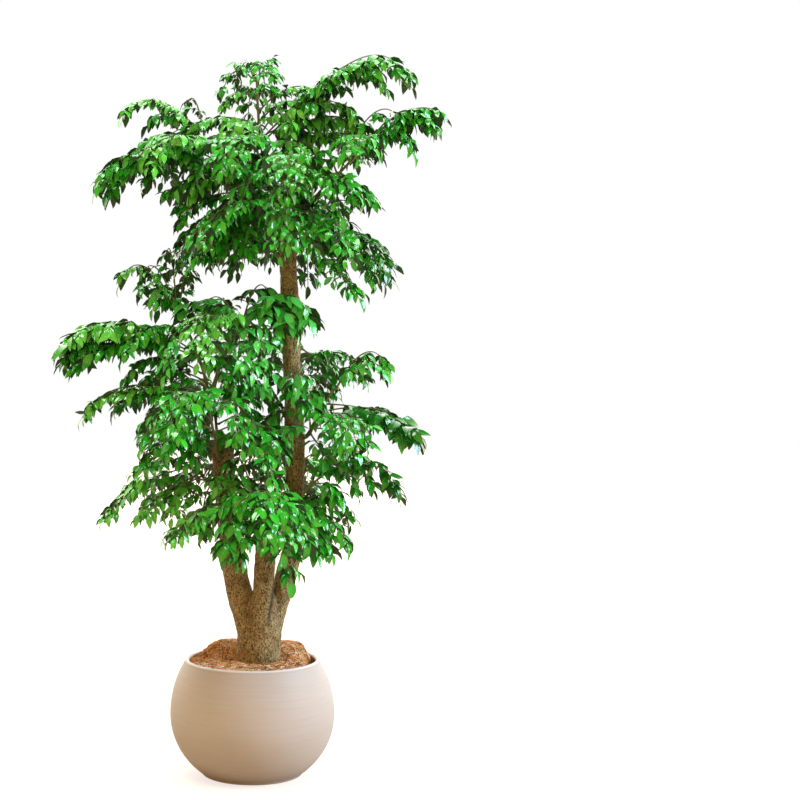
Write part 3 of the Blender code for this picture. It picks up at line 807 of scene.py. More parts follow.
def dress(
    piece: bpy.types.Object, material: bpy.types.Material, stands_for: Sequence[str] = ()
) -> None:
    """Give a piece its material and its place in the frame, and report it.

    Args:
        piece: The finished piece, at the origin.
        material: Its material.
        stands_for: The CAD nodes that it replaces.
    """
    piece.data.materials.clear()
    piece.data.materials.append(material)
    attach(piece, BODY)
    if stands_for:
        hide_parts(*stands_for)
    log.info("%s: %d faces", piece.name, len(piece.data.polygons))


# ---------------------------------------------------------------- the planter
@dataclass
class BallPlanter:
    """The turned planter: a flat foot, a round belly, a rolled lip and four drainage holes."""

    diameter: float = 0.400
    height: float = 0.278
    foot_diameter: float = 0.234
    rim_diameter: float = 0.322
    belly_height: float = 0.146
    wall: float = 0.011
    floor: float = 0.016
    foot_round: float = 0.004
    floor_turn: float = 0.030  # how far in the wall curves to meet the floor
    hole_diameter: float = 0.014
    hole_circle: float = 0.130
    holes: int = 4
    sides: int = 144
    finish: MatteGlaze = field(default_factory=MatteGlaze)

    def radius(self, height: np.ndarray | float) -> np.ndarray:
        """Outer radius at a height.

        In words: below the belly and above it, the outline is half an ellipse that is upright at the
        belly and passes the foot's edge or the rim's.

        Args:
            height: Heights above the foot.

        Returns:
            The radius at each height.
        """
        widest = self.diameter / 2
        above = np.asarray(height) >= self.belly_height
        end_radius = np.where(above, self.rim_diameter, self.foot_diameter) / 2
        end_height = np.where(above, self.height, 0.0)
        reach = np.abs(end_height - self.belly_height) / np.sqrt(1 - (end_radius / widest) ** 2)
        return widest * np.sqrt(1 - ((height - self.belly_height) / reach) ** 2)

    def inner_radius(self, height: np.ndarray | float) -> np.ndarray:
        """Inner radius at a height: the outer one less the wall."""
        return self.radius(height) - self.wall

    def profile(self) -> np.ndarray:
        """Outline from the middle of the foot, up the outside, over the lip and down to the floor.

        In words: the foot's edge is a quarter circle, the lip is half a circle as wide as the wall,
        and the wall turns into the floor on a quarter ellipse.

        Returns:
            Radius and height, one point a row.
        """
        quarter = np.linspace(0.0, np.pi / 2, 6)
        foot = self.radius(self.foot_round) - self.foot_round
        foot_edge = np.stack([foot + self.foot_round * np.sin(quarter),
                              self.foot_round * (1.0 - np.cos(quarter))], axis=-1)
        lip_middle = self.height - self.wall / 2
        levels = np.linspace(self.foot_round, lip_middle, 64)[1:]
        outside = np.stack([self.radius(levels), levels], axis=-1)
        half = np.linspace(0.0, np.pi, 13)[1:-1]
        middle = self.radius(lip_middle) - self.wall / 2
        lip = np.stack([middle + self.wall / 2 * np.cos(half),
                        lip_middle + self.wall / 2 * np.sin(half)], axis=-1)
        turn = self.floor_turn
        down = np.linspace(lip_middle, self.floor + turn, 40)
        inside = np.stack([self.inner_radius(down), down], axis=-1)
        bottom = self.inner_radius(self.floor + turn)
        curve = np.stack([bottom - turn * (1.0 - np.cos(quarter[1:])),
                          self.floor + turn * (1.0 - np.sin(quarter[1:]))], axis=-1)
        rings_in = np.array([[0.6, 0.0], [0.2, 0.0]])  # two rings divide the flat of foot and floor
        under = rings_in[::-1] * foot
        over = rings_in * (bottom - turn) + (0.0, self.floor)
        return np.concatenate([under, foot_edge, outside, lip, inside, curve, over])

    def build(self) -> None:
        """Turn the planter, drill its holes and dress it."""
        profile = self.profile()
        turn = turns(self.sides)
        rings = np.stack([profile[:, :1] * np.cos(turn), profile[:, :1] * np.sin(turn),
                          np.broadcast_to(profile[:, 1:], (len(profile), self.sides))], axis=-1)
        shell = Shell()
        shell.add(rings, tube_faces(len(profile), self.sides))
        pot = shell.lay("ball_planter", 50)
        for index in range(self.holes):
            self.drill(pot, (index + 0.5) * 2.0 * math.pi / self.holes)
        dress(pot, self.finish.material(), ["pot"])

    def drill(self, pot: bpy.types.Object, turn: float) -> None:
        """Cut one drainage hole through the floor.

        Args:
            pot: The planter.
            turn: Where the hole lies on its circle, in radians.
        """
        centre = np.array((math.cos(turn), math.sin(turn), 0.0)) * self.hole_circle / 2
        route = centre + UP * np.linspace(-self.floor, 2 * self.floor, 4)[:, None]
        rings = tube(route, np.full(4, self.hole_diameter / 2), 24, ANY_SIDE)
        shell = Shell()
        shell.add(rings, tube_faces(4, 24))
        bit = shell.lay("drill_bit")
        cut = pot.modifiers.new("drainage", "BOOLEAN")
        cut.operation = "DIFFERENCE"
        cut.solver = "EXACT"
        cut.object = bit
        apply_modifiers(pot)
        bpy.data.objects.remove(bit, do_unlink=True)


def apply_modifiers(piece: bpy.types.Object) -> None:
    """Replace a piece's mesh by what its modifiers make of it.

    Args:
        piece: The piece, which has no modifiers afterwards.
    """
    piece_now = piece.evaluated_get(bpy.context.evaluated_depsgraph_get())
    mesh = bpy.data.meshes.new_from_object(piece_now)
    piece.modifiers.clear()
    piece.data = mesh


# ---------------------------------------------------------------- the trunk
# A noise of the bark: stretch along x, y and z, grain, height and seed.
BarkNoise = tuple[tuple[float, float, float], float, float, int]


@dataclass(frozen=True)
class Stem:
    """One pruned stem: the places its axis passes, each with its radius."""

    name: str
    route: tuple[tuple[float, float, float, float], ...]

    def table(self) -> np.ndarray:
        """The route as an array: x, y, z and radius."""
        return np.array(self.route)


STEMS = (
    Stem("left_stem", (
        (0.002, 0.004, 0.300, 0.0300), (-0.0094, 0.004, 0.360, 0.0330), (-0.0200, 0.004, 0.400, 0.0330),
        (-0.0345, 0.004, 0.450, 0.0315), (-0.0453, 0.004, 0.517, 0.0297), (-0.0590, 0.006, 0.630, 0.0280),
        (-0.0690, 0.008, 0.737, 0.0268), (-0.0745, 0.008, 0.800, 0.0262),
    )),
    Stem("middle_stem", (
        (0.0220, -0.010, 0.310, 0.0320), (0.0240, -0.018, 0.360, 0.0320), (0.0265, -0.023, 0.410, 0.0295),
        (0.0280, -0.026, 0.454, 0.0272), (0.0320, -0.028, 0.540, 0.0265), (0.0360, -0.028, 0.620, 0.0255),
    )),
    Stem("right_stem", (
        (0.0360, 0.008, 0.300, 0.0300), (0.0440, 0.010, 0.354, 0.0295), (0.0560, 0.014, 0.392, 0.0285),
        (0.0740, 0.018, 0.446, 0.0268), (0.0870, 0.018, 0.492, 0.0252), (0.0985, 0.018, 0.560, 0.0238),
        (0.1040, 0.016, 0.680, 0.0222), (0.1045, 0.014, 0.780, 0.0240), (0.1040, 0.013, 0.835, 0.0258),
        (0.1010, 0.012, 0.890, 0.0232), (0.0970, 0.010, 0.970, 0.0220), (0.0950, 0.010, 1.060, 0.0228),
        (0.0925, 0.010, 1.140, 0.0232), (0.0880, 0.010, 1.220, 0.0215), (0.0875, 0.010, 1.320, 0.0208),
    )),
)


@dataclass
class OldStock:
    """The trunk: a fused base and three pruned stems, grown together, under rough bark."""

    soil_top: float = 0.236
    stems: tuple[Stem, ...] = STEMS
    # Height, centre x, half width and half depth of the base, from the root crown upwards.
    base: tuple[tuple[float, float, float, float], ...] = (
        (0.121, 0.012, 0.026, 0.024), (0.166, 0.013, 0.043, 0.040), (0.211, 0.015, 0.053, 0.048),
        (0.236, 0.0165, 0.0535, 0.049), (0.305, 0.0165, 0.0535, 0.049), (0.340, 0.0170, 0.0530, 0.045),
        (0.380, 0.0190, 0.0490, 0.037), (0.415, 0.0210, 0.0400, 0.028), (0.435, 0.0215, 0.0250, 0.018),
    )
    lobes: int = 3
    lobe: float = 0.035  # how far a lobe swells, over the radius
    lobe_turn: float = 2.6  # where the lobes stand, in radians
    voxel: float = 0.0030  # edge of the cubes that the fused skin follows
    smoothing: int = 6  # passes that round the crotches
    cut_depth: float = 0.004  # how far below a stem's top its bark starts to fade
    cut_fade: float = 0.0025
    cut_reach: float = 1.3  # how far round the axis the sawn wood may lie, over the stem's radius
    # Knots where old branches were cut off: x, y, z and radius.
    knots: tuple[tuple[float, float, float, float], ...] = (
        (-0.030, -0.026, 0.515, 0.011), (-0.075, -0.008, 0.640, 0.010), (0.030, -0.052, 0.480, 0.009),
        (0.100, -0.006, 0.560, 0.009), (0.084, 0.030, 0.720, 0.010), (0.110, -0.008, 0.980, 0.009),
        (0.083, -0.006, 1.080, 0.010), (0.111, 0.020, 1.150, 0.008), (0.040, -0.047, 0.360, 0.012),
        (-0.020, 0.040, 0.345, 0.012), (0.118, 0.002, 0.860, 0.008), (0.078, -0.002, 1.200, 0.008),
    )
    seam_width: float = 0.0055  # of the furrow between the middle and the right stem
    seam_ends: tuple[float, float] = (0.355, 0.56)
    seam_fades: tuple[float, float] = (0.03, 0.05)
    seam_depth: float = 0.004
    ribs: BarkNoise = ((1.0, 1.0, 0.16), 0.012, 0.0011, 11)
    rings: BarkNoise = ((0.30, 0.30, 1.0), 0.011, 0.0009, 12)
    flakes: BarkNoise = ((1.0, 1.0, 0.7), 0.0062, 0.0006, 14)
    swell: BarkNoise = ((1.0, 1.0, 1.0), 0.045, 0.0016, 13)
    knot_ring: float = 0.0032
    knot_hollow: float = 0.0026
    finish: OldBark = field(default_factory=OldBark)

    def base_rings(self, rings: int, sides: int) -> np.ndarray:
        """Rings of the fused base.

        In words: each ring is an ellipse whose radius swells and shrinks three times round.

        Args:
            rings: How many rings.
            sides: Points in a ring.

        Returns:
            Points by ring and side.
        """
        table = np.array(self.base)
        height = np.linspace(table[0, 0], table[-1, 0], rings)
        centre, width, depth = (np.interp(height, table[:, 0], table[:, k])[:, None] for k in (1, 2, 3))
        turn = turns(sides)
        swell = 1.0 + self.lobe * np.cos(self.lobes * turn + self.lobe_turn)
        return np.stack([centre + width * swell * np.cos(turn), depth * swell * np.sin(turn),
                         np.broadcast_to(height[:, None], (rings, sides))], axis=-1)

    def body(self) -> bpy.types.Object:
        """Grow the base and the stems together.

        In words: closed tubes overlap, small cubes are laid over the space inside them, and the new
        skin is smoothed, which rounds the crotches.

        Returns:
            The smooth trunk, without bark.
        """
        shell = Shell()
        shell.add(self.base_rings(40, 48), tube_faces(40, 48))
        for stem in self.stems:
            route = smooth_route(stem.table(), 60)
            shell.add(tube(route[:, :3], route[:, 3], 32, ANY_SIDE), tube_faces(60, 32))
        trunk = shell.lay("old_trunk")
        fuse = trunk.modifiers.new("fuse", "REMESH")
        fuse.mode = "VOXEL"
        fuse.voxel_size = self.voxel
        fuse.use_smooth_shade = True
        relax = trunk.modifiers.new("relax", "SMOOTH")
        relax.factor = 0.5
        relax.iterations = self.smoothing
        apply_modifiers(trunk)
        return trunk

    def cut_share(self, points: np.ndarray) -> np.ndarray:
        """How far each point lies on a pruning cut, from 0 on the bark to 1 on the sawn wood.

        Args:
            points: Places on the trunk.

        Returns:
            The share at each place.
        """
        share = np.zeros(len(points))
        for stem in self.stems:
            x, y, z, radius = stem.table()[-1]
            near = np.hypot(points[:, 0] - x, points[:, 1] - y) < radius * self.cut_reach
            above = (points[:, 2] - z + self.cut_depth) / self.cut_fade
            share = np.maximum(share, near * np.clip(above, 0.0, 1.0))
        return share

    def groove(self, points: np.ndarray) -> np.ndarray:
        """How deep each point lies in the furrow between the middle and the right stem.

        In words: it is a bell curve across the seam, where the two stems' outlines meet, on the front
        only, and it fades at both ends.

        Args:
            points: Places on the trunk.

        Returns:
            The depth at each place, from 0 to 1.
        """
        height = points[:, 2]
        middle, right = (self.axis_x(stem, height) for stem in self.stems[1:])
        seam = (middle[0] + middle[1] + right[0] - right[1]) / 2
        inside = np.exp(-(((points[:, 0] - seam) / self.seam_width) ** 2))
        (low, high), (fade_in, fade_out) = self.seam_ends, self.seam_fades
        tall = np.clip((height - low) / fade_in, 0.0, 1.0) * np.clip((high - height) / fade_out, 0.0, 1.0)
        return inside * tall * (points[:, 1] < 0.0)

    @staticmethod
    def axis_x(stem: Stem, height: np.ndarray) -> tuple[np.ndarray, np.ndarray]:
        """A stem's axis x and radius at heights."""
        table = stem.table()
        return (np.interp(height, table[:, 2], table[:, 0]), np.interp(height, table[:, 2], table[:, 3]))

    def relief(self, points: np.ndarray, cut: np.ndarray) -> np.ndarray:
        """Height of the bark above the smooth trunk.

        In words: long shallow ribs run up the stems, rings 15 mm apart run round them, pores and flakes
        3 to 6 mm across cover them, and each knot is a raised ring round a hollow.

        Args:
            points: Places on the trunk.
            cut: How far each place lies on a pruning cut, where there is no bark.

        Returns:
            The height at each place.
        """
        ribs, rings, flakes, swell = (
            lattice_noise(points * stretch, grain, seed) * rise
            for stretch, grain, rise, seed in (self.ribs, self.rings, self.flakes, self.swell)
        )
        height = (ribs + rings + flakes) * (1.0 - cut) + swell
        for x, y, z, radius in self.knots:
            away = np.linalg.norm((points - (x, y, z)) * (1.0, 1.0, 0.8), axis=1) / radius
            height += self.knot_ring * np.exp(-((away - 0.9) ** 2) / 0.12)
            height -= self.knot_hollow * np.exp(-(away**2) / 0.20)
        return height

    def build(self) -> None:
        """Grow the trunk, raise its bark and dress it."""
        trunk = self.body()
        mesh = trunk.data
        count = len(mesh.vertices)
        points = np.empty(count * 3)
        normals = np.empty(count * 3)
        mesh.vertices.foreach_get("co", points)
        mesh.vertex_normals.foreach_get("vector", normals)
        points, normals = points.reshape(-1, 3), normals.reshape(-1, 3)
        cut = self.cut_share(points)
        groove = self.groove(points)
        points = points + normals * (self.relief(points, cut) - self.seam_depth * groove)[:, None]
        mesh.vertices.foreach_set("co", points.ravel())
        # the furrow's share carries painted shade into the bark's colour
        for name, values in (("cut", cut), ("groove", groove * 0.8)):
            mesh.attributes.new(name, "FLOAT", "POINT").data.foreach_set("value", values)
        mesh.update()
        mesh.shade_smooth()
        dress(trunk, self.finish.material(), ["trunk"])


# ---------------------------------------------------------------- the coir
@dataclass
class CoirMulch:
    """The coir: a matted bed with two mounds behind the trunk, under loose curved strands."""

    planter: BallPlanter
    stock: OldStock
    level: float = 0.262
    rise: float = 0.010
    hump_height: float = 0.030
    hump_spread: float = 0.060
    hump_power: float = 1.6  # above 1, a mound is flatter on top and steeper round it than a bell
    humps: tuple[tuple[float, float], ...] = ((-0.060, 0.072), (0.092, 0.052))
    hump_margin: float = 0.012
    back_rise: float = 0.009
    back_start: float = -0.03
    back_run: float = 0.09
    hollow: tuple[float, float, float, float] = (0.138, 0.012, 0.024, 0.020)  # x, y, spread and depth
    soil_gap: float = 0.0005
    wall_gap: float = 0.0012
    trunk_overlap: float = 0.03  # share of the trunk's radius that the bed reaches into
    # The lumps: grain, height and seed of a coarse and a fine noise.
    lumps: tuple[tuple[float, float, int], ...] = ((0.008, 0.0018, 21), (0.0035, 0.0009, 22))
    strands: int = 4300
    strand_points: int = 5
    strand_wall_gap: float = 0.004
    strand_bend: float = 1.3  # spread of the angle that a strand turns through, in radians
    strand_lift: tuple[float, float] = (0.0005, 0.0065)
    strand_sink: float = 0.0008
    strand_radius: tuple[float, float] = (0.0005, 0.0011)  # real fibre is a third as thick
    strand_length: tuple[float, float] = (0.018, 0.060)
    seed: int = 5

    def height(self, x: np.ndarray, y: np.ndarray) -> np.ndarray:
        """Height of the bed.

        In words: it rises gently from the wall to the trunk and towards the back. Each mound is a bell
        with a flattened top that fades out close to the wall, and a hollow on the right is a bell turned
        down.

        Args:
            x: Places to the right.
            y: Places to the back.

        Returns:
            The height at each place.
        """
        wall = self.planter.rim_diameter / 2 - self.planter.wall
        distance = np.hypot(x, y)
        height = self.level + self.rise * (1.0 - np.clip(distance / wall, 0.0, 1.0) ** 2)
        fade = np.clip((wall - distance) / self.hump_margin, 0.0, 1.0)
        for hump_x, hump_y in self.humps:
            away = ((x - hump_x) ** 2 + (y - hump_y) ** 2) / self.hump_spread**2
            hump = np.exp(-(away**self.hump_power))
            height = height + self.hump_height * hump * fade
        height = height + self.back_rise * np.clip((y - self.back_start) / self.back_run, 0.0, 1.0)
        hollow_x, hollow_y, spread, depth = self.hollow
        return height - depth * np.exp(-((x - hollow_x) ** 2 + (y - hollow_y) ** 2) / spread**2)

    def build_bed(self) -> None:
        """Lay the matted bed.

        In words: rings run from the foot of the wall up to the surface, inwards to the trunk and down
        again, and lumps about 8 mm across roughen the surface.
        """
        sides, foot = 160, self.stock.soil_top + self.soil_gap
        turn = turns(sides)
        wall_radius = self.planter.inner_radius(self.level) - self.wall_gap
        wall = np.stack([wall_radius * np.cos(turn), wall_radius * np.sin(turn), np.zeros(sides)], axis=-1)
        trunk = self.stock.base_rings(40, sides)[15] * (1.0, 1.0, 0.0)  # where the surface meets it
        middle = (self.stock.base[3][1], 0.0, 0.0)
        trunk = (trunk - middle) * (1.0 - self.trunk_overlap) + middle
        shares = np.linspace(0.0, 1.0, 44)[:, None, None]
        top = wall * (1.0 - shares) + trunk * shares
        flat = top.reshape(-1, 3)
        lumps = sum(lattice_noise(flat, grain, seed) * rise for grain, rise, seed in self.lumps)
        edge = np.clip(np.minimum(shares, 1.0 - shares) * 14.0, 0.0, 1.0)
        top[..., 2] = self.height(top[..., 0], top[..., 1])
        top[..., 2] += lumps.reshape(top.shape[:2]) * edge[..., 0]
        rings = np.concatenate([(wall + UP * foot)[None], top, (trunk + UP * foot)[None]])
        rows = len(rings)
        near = np.arange(sides)
        beside = (near + 1) % sides
        last = (rows - 1) * sides
        closing = np.stack([near, last + near, last + beside, beside], axis=-1)
        shell = Shell()
        shell.add(rings, [grid_quads(rows, sides), closing])
        bed = shell.lay("coir_bed", 60)
        dress(bed, CoirBed().material(), ["coir_mulch"])

    def build_strands(self) -> None:
        """Scatter the loose strands.

        In words: each strand is an arc of a circle seen from above, laid on the bed, with its middle
        lifted a little and its ends pushed in.
        """
        random = np.random.default_rng(self.seed)
        wall = self.planter.inner_radius(self.level) - self.strand_wall_gap
        radius = np.sqrt(random.uniform(0.0, 1.0, self.strands)) * wall
        turn = random.uniform(0.0, 2.0 * np.pi, self.strands)
        start = np.stack([radius * np.cos(turn), radius * np.sin(turn)], axis=-1)
        length = random.uniform(*self.strand_length, self.strands)[:, None]
        aim = random.uniform(0.0, 2.0 * np.pi, self.strands)[:, None]
        bend = random.normal(0.0, self.strand_bend, self.strands)[:, None]
        share = np.linspace(-0.5, 0.5, self.strand_points)[None, :]
        facing = aim + bend * share
        step = length / (self.strand_points - 1)
        x = start[:, :1] + np.cumsum(np.cos(facing) * step, axis=1) - length / 2 * np.cos(aim)
        y = start[:, 1:] + np.cumsum(np.sin(facing) * step, axis=1) - length / 2 * np.sin(aim)
        # a strand that would pass the wall turns back along it
        inwards = np.minimum(1.0, wall / np.hypot(x, y))
        x, y = x * inwards, y * inwards
        lift = random.uniform(*self.strand_lift, self.strands)[:, None]
        z = self.height(x, y) + lift * np.cos(np.pi * share) - self.strand_sink
        thick = random.uniform(*self.strand_radius, self.strands)[:, None] * (1.0 - 1.1 * share**2)
        # no strand runs upright, so a direction close to it serves them all
        rings = tube(np.stack([x, y, z], axis=-1), thick, 3, UP + 0.01)
        shell = Shell()
        tones = random.integers(0, MAP_CELLS**2, self.strands)
        for tone in range(MAP_CELLS**2):
            add_tubes(shell, rings[tones == tone], (tone % MAP_CELLS, tone // MAP_CELLS))
        strands = shell.lay("coir_strands")
        dress(strands, CoirFibre().material())


# ---------------------------------------------------------------- the shoots
@dataclass(frozen=True)
class Shoot:
    """A young branch: what it grows from, where, and the places that it passes on its way out."""

    name: str
    parent: str
    height: float  # where it leaves the parent's axis
    route: tuple[tuple[float, float, float], ...]
    radius: float = 0.0050
    tip_radius: float = 0.0026
    collar: float = 0.012
    collar_swell: float = 0.55
    collar_fade: float = 0.030
    scar_swell: float = 0.16
    scar_step: float = 0.035
    scar_lead: float = 0.010  # how far into a step the first scar's counting starts
    scar_width: float = 0.0035
    fillers: int = 5  # leaves beyond those of the CAD model
    filler_shares: tuple[float, float] = (0.25, 0.95)
    filler_reach: float = 0.175
    tone: Tone = Tone.MATURE  # of the leaves beyond those of the CAD model

    def path(self, parent_route: np.ndarray, parent_radius: float) -> np.ndarray:
        """The shoot's axis, from the parent's axis to its tip.

        Args:
            parent_route: The parent's axis, one point a row.
            parent_radius: The parent's radius where the shoot leaves it.

        Returns:
            Points of the axis, one a row.
        """
        inside = np.array([np.interp(self.height, parent_route[:, 2], parent_route[:, k]) for k in (0, 1)]
                          + [self.height])
        outward = unit((np.array(self.route[0]) - inside) * (1.0, 1.0, 0.0))
        collar_end = inside + outward * (parent_radius + self.collar)
        return smooth_route(np.vstack([inside, collar_end, *self.route]), 40)

    def build(self, path: np.ndarray) -> bpy.types.Object:
        """Grow the branch along its path.

        In words: the radius falls evenly to the tip, swells at the collar, and swells a little more at
        each leaf scar, one scar step apart.

        Args:
            path: The shoot's axis.

        Returns:
            The finished piece.
        """
        length = np.concatenate([[0.0], np.cumsum(np.linalg.norm(np.diff(path, axis=0), axis=1))])
        fine = at_share(path, np.linspace(0.0, 1.0, max(24, int(length[-1] / 0.006))))
        travelled = np.linspace(0.0, length[-1], len(fine))
        radii = self.radius + (self.tip_radius - self.radius) * travelled / length[-1]
        radii *= 1.0 + self.collar_swell * np.exp(-travelled / self.collar_fade)
        to_scar = (travelled + self.scar_lead) % self.scar_step - self.scar_step / 2
        radii *= 1.0 + self.scar_swell * np.exp(-((to_scar / self.scar_width) ** 2))
        sideways = np.cross(fine[-1] - fine[0], UP)
        shell = Shell()
        shell.add(tube(fine, radii, 10, sideways), tube_faces(len(fine), 10))
        return shell.lay(f"{self.name}_bark", 60)


SHOOTS = (
    # from the top of the tall stem
    Shoot("shoot_leader", "right_stem", 1.300, ((0.044, 0.004, 1.410), (0.019, 0.000, 1.550),
          (0.010, 0.000, 1.695)), 0.0060, fillers=8, filler_shares=(0.15, 0.60), filler_reach=0.18,
          tone=Tone.YOUNG),
    Shoot("shoot_upper_right", "right_stem", 1.285, ((0.135, -0.010, 1.375), (0.200, -0.018, 1.448),
          (0.272, -0.022, 1.520)), 0.0060, fillers=5, filler_shares=(0.10, 0.45), filler_reach=0.13),
    Shoot("shoot_upper_left", "right_stem", 1.265, ((0.018, -0.010, 1.360), (-0.055, -0.012, 1.455),
          (-0.110, -0.012, 1.535)), fillers=7),
    Shoot("shoot_upper_front", "right_stem", 1.250, ((0.096, -0.085, 1.330), (0.086, -0.150, 1.430))),
    Shoot("shoot_upper_back", "right_stem", 1.275, ((0.092, 0.090, 1.350), (0.090, 0.155, 1.460))),
    # half way up the tall stem
    Shoot("shoot_mid_right", "right_stem", 0.820, ((0.160, -0.016, 0.872), (0.196, -0.024, 0.935)),
          fillers=3, filler_shares=(0.2, 0.5), filler_reach=0.13, tone=Tone.FRESH),
    Shoot("shoot_mid_back", "right_stem", 0.900, ((0.112, 0.085, 0.965), (0.118, 0.130, 1.040))),
    # from the top of the left stem
    Shoot("shoot_left", "left_stem", 0.785, ((-0.106, 0.004, 0.880), (-0.116, 0.000, 0.965),
          (-0.146, 0.000, 1.050), (-0.182, 0.000, 1.128)), 0.0062, fillers=9, filler_shares=(0.15, 0.92)),
    Shoot("shoot_left_inner", "shoot_left", 0.935, ((-0.070, -0.030, 1.020), (-0.028, -0.048, 1.095)),
          tone=Tone.FRESH),
    Shoot("shoot_left_front", "left_stem", 0.770, ((-0.092, -0.080, 0.830), (-0.104, -0.130, 0.900))),
    Shoot("shoot_left_back", "left_stem", 0.765, ((-0.090, 0.090, 0.840), (-0.096, 0.140, 0.920))),
    Shoot("shoot_left_low", "left_stem", 0.700, ((-0.130, 0.010, 0.735), (-0.165, 0.010, 0.790)),
          fillers=4, filler_shares=(0.15, 0.60), tone=Tone.YOUNG),
    # from the top of the middle stem
    Shoot("shoot_low_right", "middle_stem", 0.600, ((0.100, -0.070, 0.650), (0.142, -0.080, 0.715)),
          filler_shares=(0.2, 0.6), filler_reach=0.15),
    Shoot("shoot_low_front", "middle_stem", 0.590, ((0.018, -0.105, 0.635), (0.004, -0.150, 0.690))),
    Shoot("shoot_low_back", "right_stem", 0.640, ((0.116, 0.085, 0.690), (0.116, 0.125, 0.750)),
          filler_reach=0.14),
)


# ---------------------------------------------------------------- the leaves
@dataclass(frozen=True)
class LeafletBatch:
    """Many leaflets of one shape: thin folded blades with a drip tip, laid as whole arrays."""

    slenderness: float = 0.210  # half width over length
    fold: float = 0.55  # how steeply the halves rise from the midrib
    cup: float = 0.40  # how far the margins curl down again
    petiole: float = 0.045  # share of the length that is the leaflet's own short stalk
    ripple: float = 0.12  # of the margin, over the half width
    ripple_turn: float = 9.0  # radians of ripple along a blade
    thickness: float = 0.0004  # a real blade is half as thick
    stations: tuple[float, ...] = (0.08, 0.28, 0.55, 0.83)
    columns: tuple[float, ...] = (-1.0, -0.5, 0.0, 0.5, 1.0)

    def half_width(self, share: np.ndarray) -> np.ndarray:
        """Half width at shares of the length, over the widest one.

        In words: past a short stalk the blade widens as the share to the power 0.8 and narrows as the
        rest to the power 1.25, which leaves a long drawn-out tip.

        Args:
            share: Shares of the leaflet's length.

        Returns:
            Half widths from 0 to 1.
        """
        blade = np.clip((share - self.petiole) / (1.0 - self.petiole), 0.0, 1.0)
        greatest = 0.2538  # of the product below
        return 0.04 + blade**0.8 * (1.0 - blade) ** 1.25 / greatest

    def template(self) -> tuple[np.ndarray, np.ndarray, np.ndarray, list[np.ndarray]]:
        """The one blade that all copies follow.

        Returns:
            For each point, its share of the length, its place across from -1 to 1 and whether it lies
            on the underside, and then the faces: upper quads, upper triangles, lower quads, lower
            triangles. The two sides share the margin, the foot and the tip. The underside is flatter:
            between its margins it has the midrib only.
        """
        rows, width = len(self.stations), len(self.columns)
        share = np.concatenate([[0.0], np.repeat(self.stations, width), [1.0], self.stations])
        across = np.concatenate([[0.0], np.tile(self.columns, rows), [0.0], np.zeros(rows)])
        tip = rows * width + 1
        under = (np.arange(len(share)) > tip).astype(float)
        upper = 1 + np.arange(rows * width).reshape(rows, width)
        lower = np.stack([upper[:, 0], tip + 1 + np.arange(rows), upper[:, -1]], axis=-1)
        faces = []
        for side, quad_turn, turn in ((upper, [0, 1, 2, 3], [0, 1, 2]), (lower, [0, 3, 2, 1], [0, 2, 1])):
            count = side.shape[1] - 1
            quads = np.stack([side[:-1, :-1], side[1:, :-1], side[1:, 1:], side[:-1, 1:]], axis=-1)
            foot = np.stack([np.zeros(count, int), side[0, :-1], side[0, 1:]], axis=-1)
            point = np.stack([side[-1, :-1], np.full(count, tip), side[-1, 1:]], axis=-1)
            faces += [quads.reshape(-1, 4)[:, quad_turn], np.concatenate([foot, point])[:, turn]]
        return share, across, under, faces

    def points(
        self, feet: np.ndarray, axes: np.ndarray, normals: np.ndarray, lengths: np.ndarray,
        curls: np.ndarray, phases: np.ndarray,
    ) -> np.ndarray:
        """Points of every leaflet.

        In words: the midrib is an arc that turns down through the curl, the halves rise from it by the
        fold and sink again by the square of the place across, and the margin ripples.

        Args:
            feet: Where each leaflet is held.
            axes: Its direction at the foot.
            normals: The way that its upper side faces there.
            lengths: Its length.
            curls: The angle that its midrib turns through.
            phases: Where its ripple starts.

        Returns:
            Points by leaflet and template point.
        """
        share, across, under, _ = self.template()
        bend = curls[:, None] * share
        half = lengths[:, None] * self.slenderness * self.half_width(share)
        ripple = np.sin(self.ripple_turn * share + phases[:, None]) * across**2 * self.ripple
        lift = half * (self.fold * np.abs(across) - self.cup * across**2 + ripple)
        lift = lift - self.thickness * under
        x = lengths[:, None] * np.sin(bend) / curls[:, None] + lift * np.sin(bend)
        z = -lengths[:, None] * (1.0 - np.cos(bend)) / curls[:, None] + lift * np.cos(bend)
        y = half * across
        beside = np.cross(normals, axes)
        return (feet[:, None] + x[..., None] * axes[:, None] + y[..., None] * beside[:, None]
                + z[..., None] * normals[:, None])

    def add_to(self, shell: Shell, tones: np.ndarray, points: np.ndarray) -> None:
        """Add leaflets to a shell, each drawn with the map cell of its tone.

        Args:
            shell: Where the leaflets go.
            tones: Each leaflet's tone, from 0 to 11.
            points: Points by leaflet and template point.
        """
        share, across, _, faces = self.template()
        # each blade stays clear of its cell's border
        local = np.stack([0.5 + 0.46 * across, 0.03 + 0.94 * share], axis=-1)
        start = (np.arange(len(points)) * points.shape[1])[:, None, None]
        upper_cell = np.stack([tones % MAP_CELLS, 1 + tones // MAP_CELLS], axis=-1)
        lower_cell = np.stack([tones % (MAP_CELLS - 1), np.zeros_like(tones)], axis=-1)
        laid, places = [], []
        for number, corners in enumerate(faces):
            cell = upper_cell if number < 2 else lower_cell
            laid.append((corners[None] + start).reshape(-1, corners.shape[1]))
            places.append((local[corners][None] + cell[:, None, None]) / MAP_CELLS)
        shell.add(points, laid, places)


FINE_LEAFLETS = LeafletBatch()
PLAIN_LEAFLETS = LeafletBatch(columns=(-1.0, 0.0, 1.0), fold=0.30, cup=0.0)


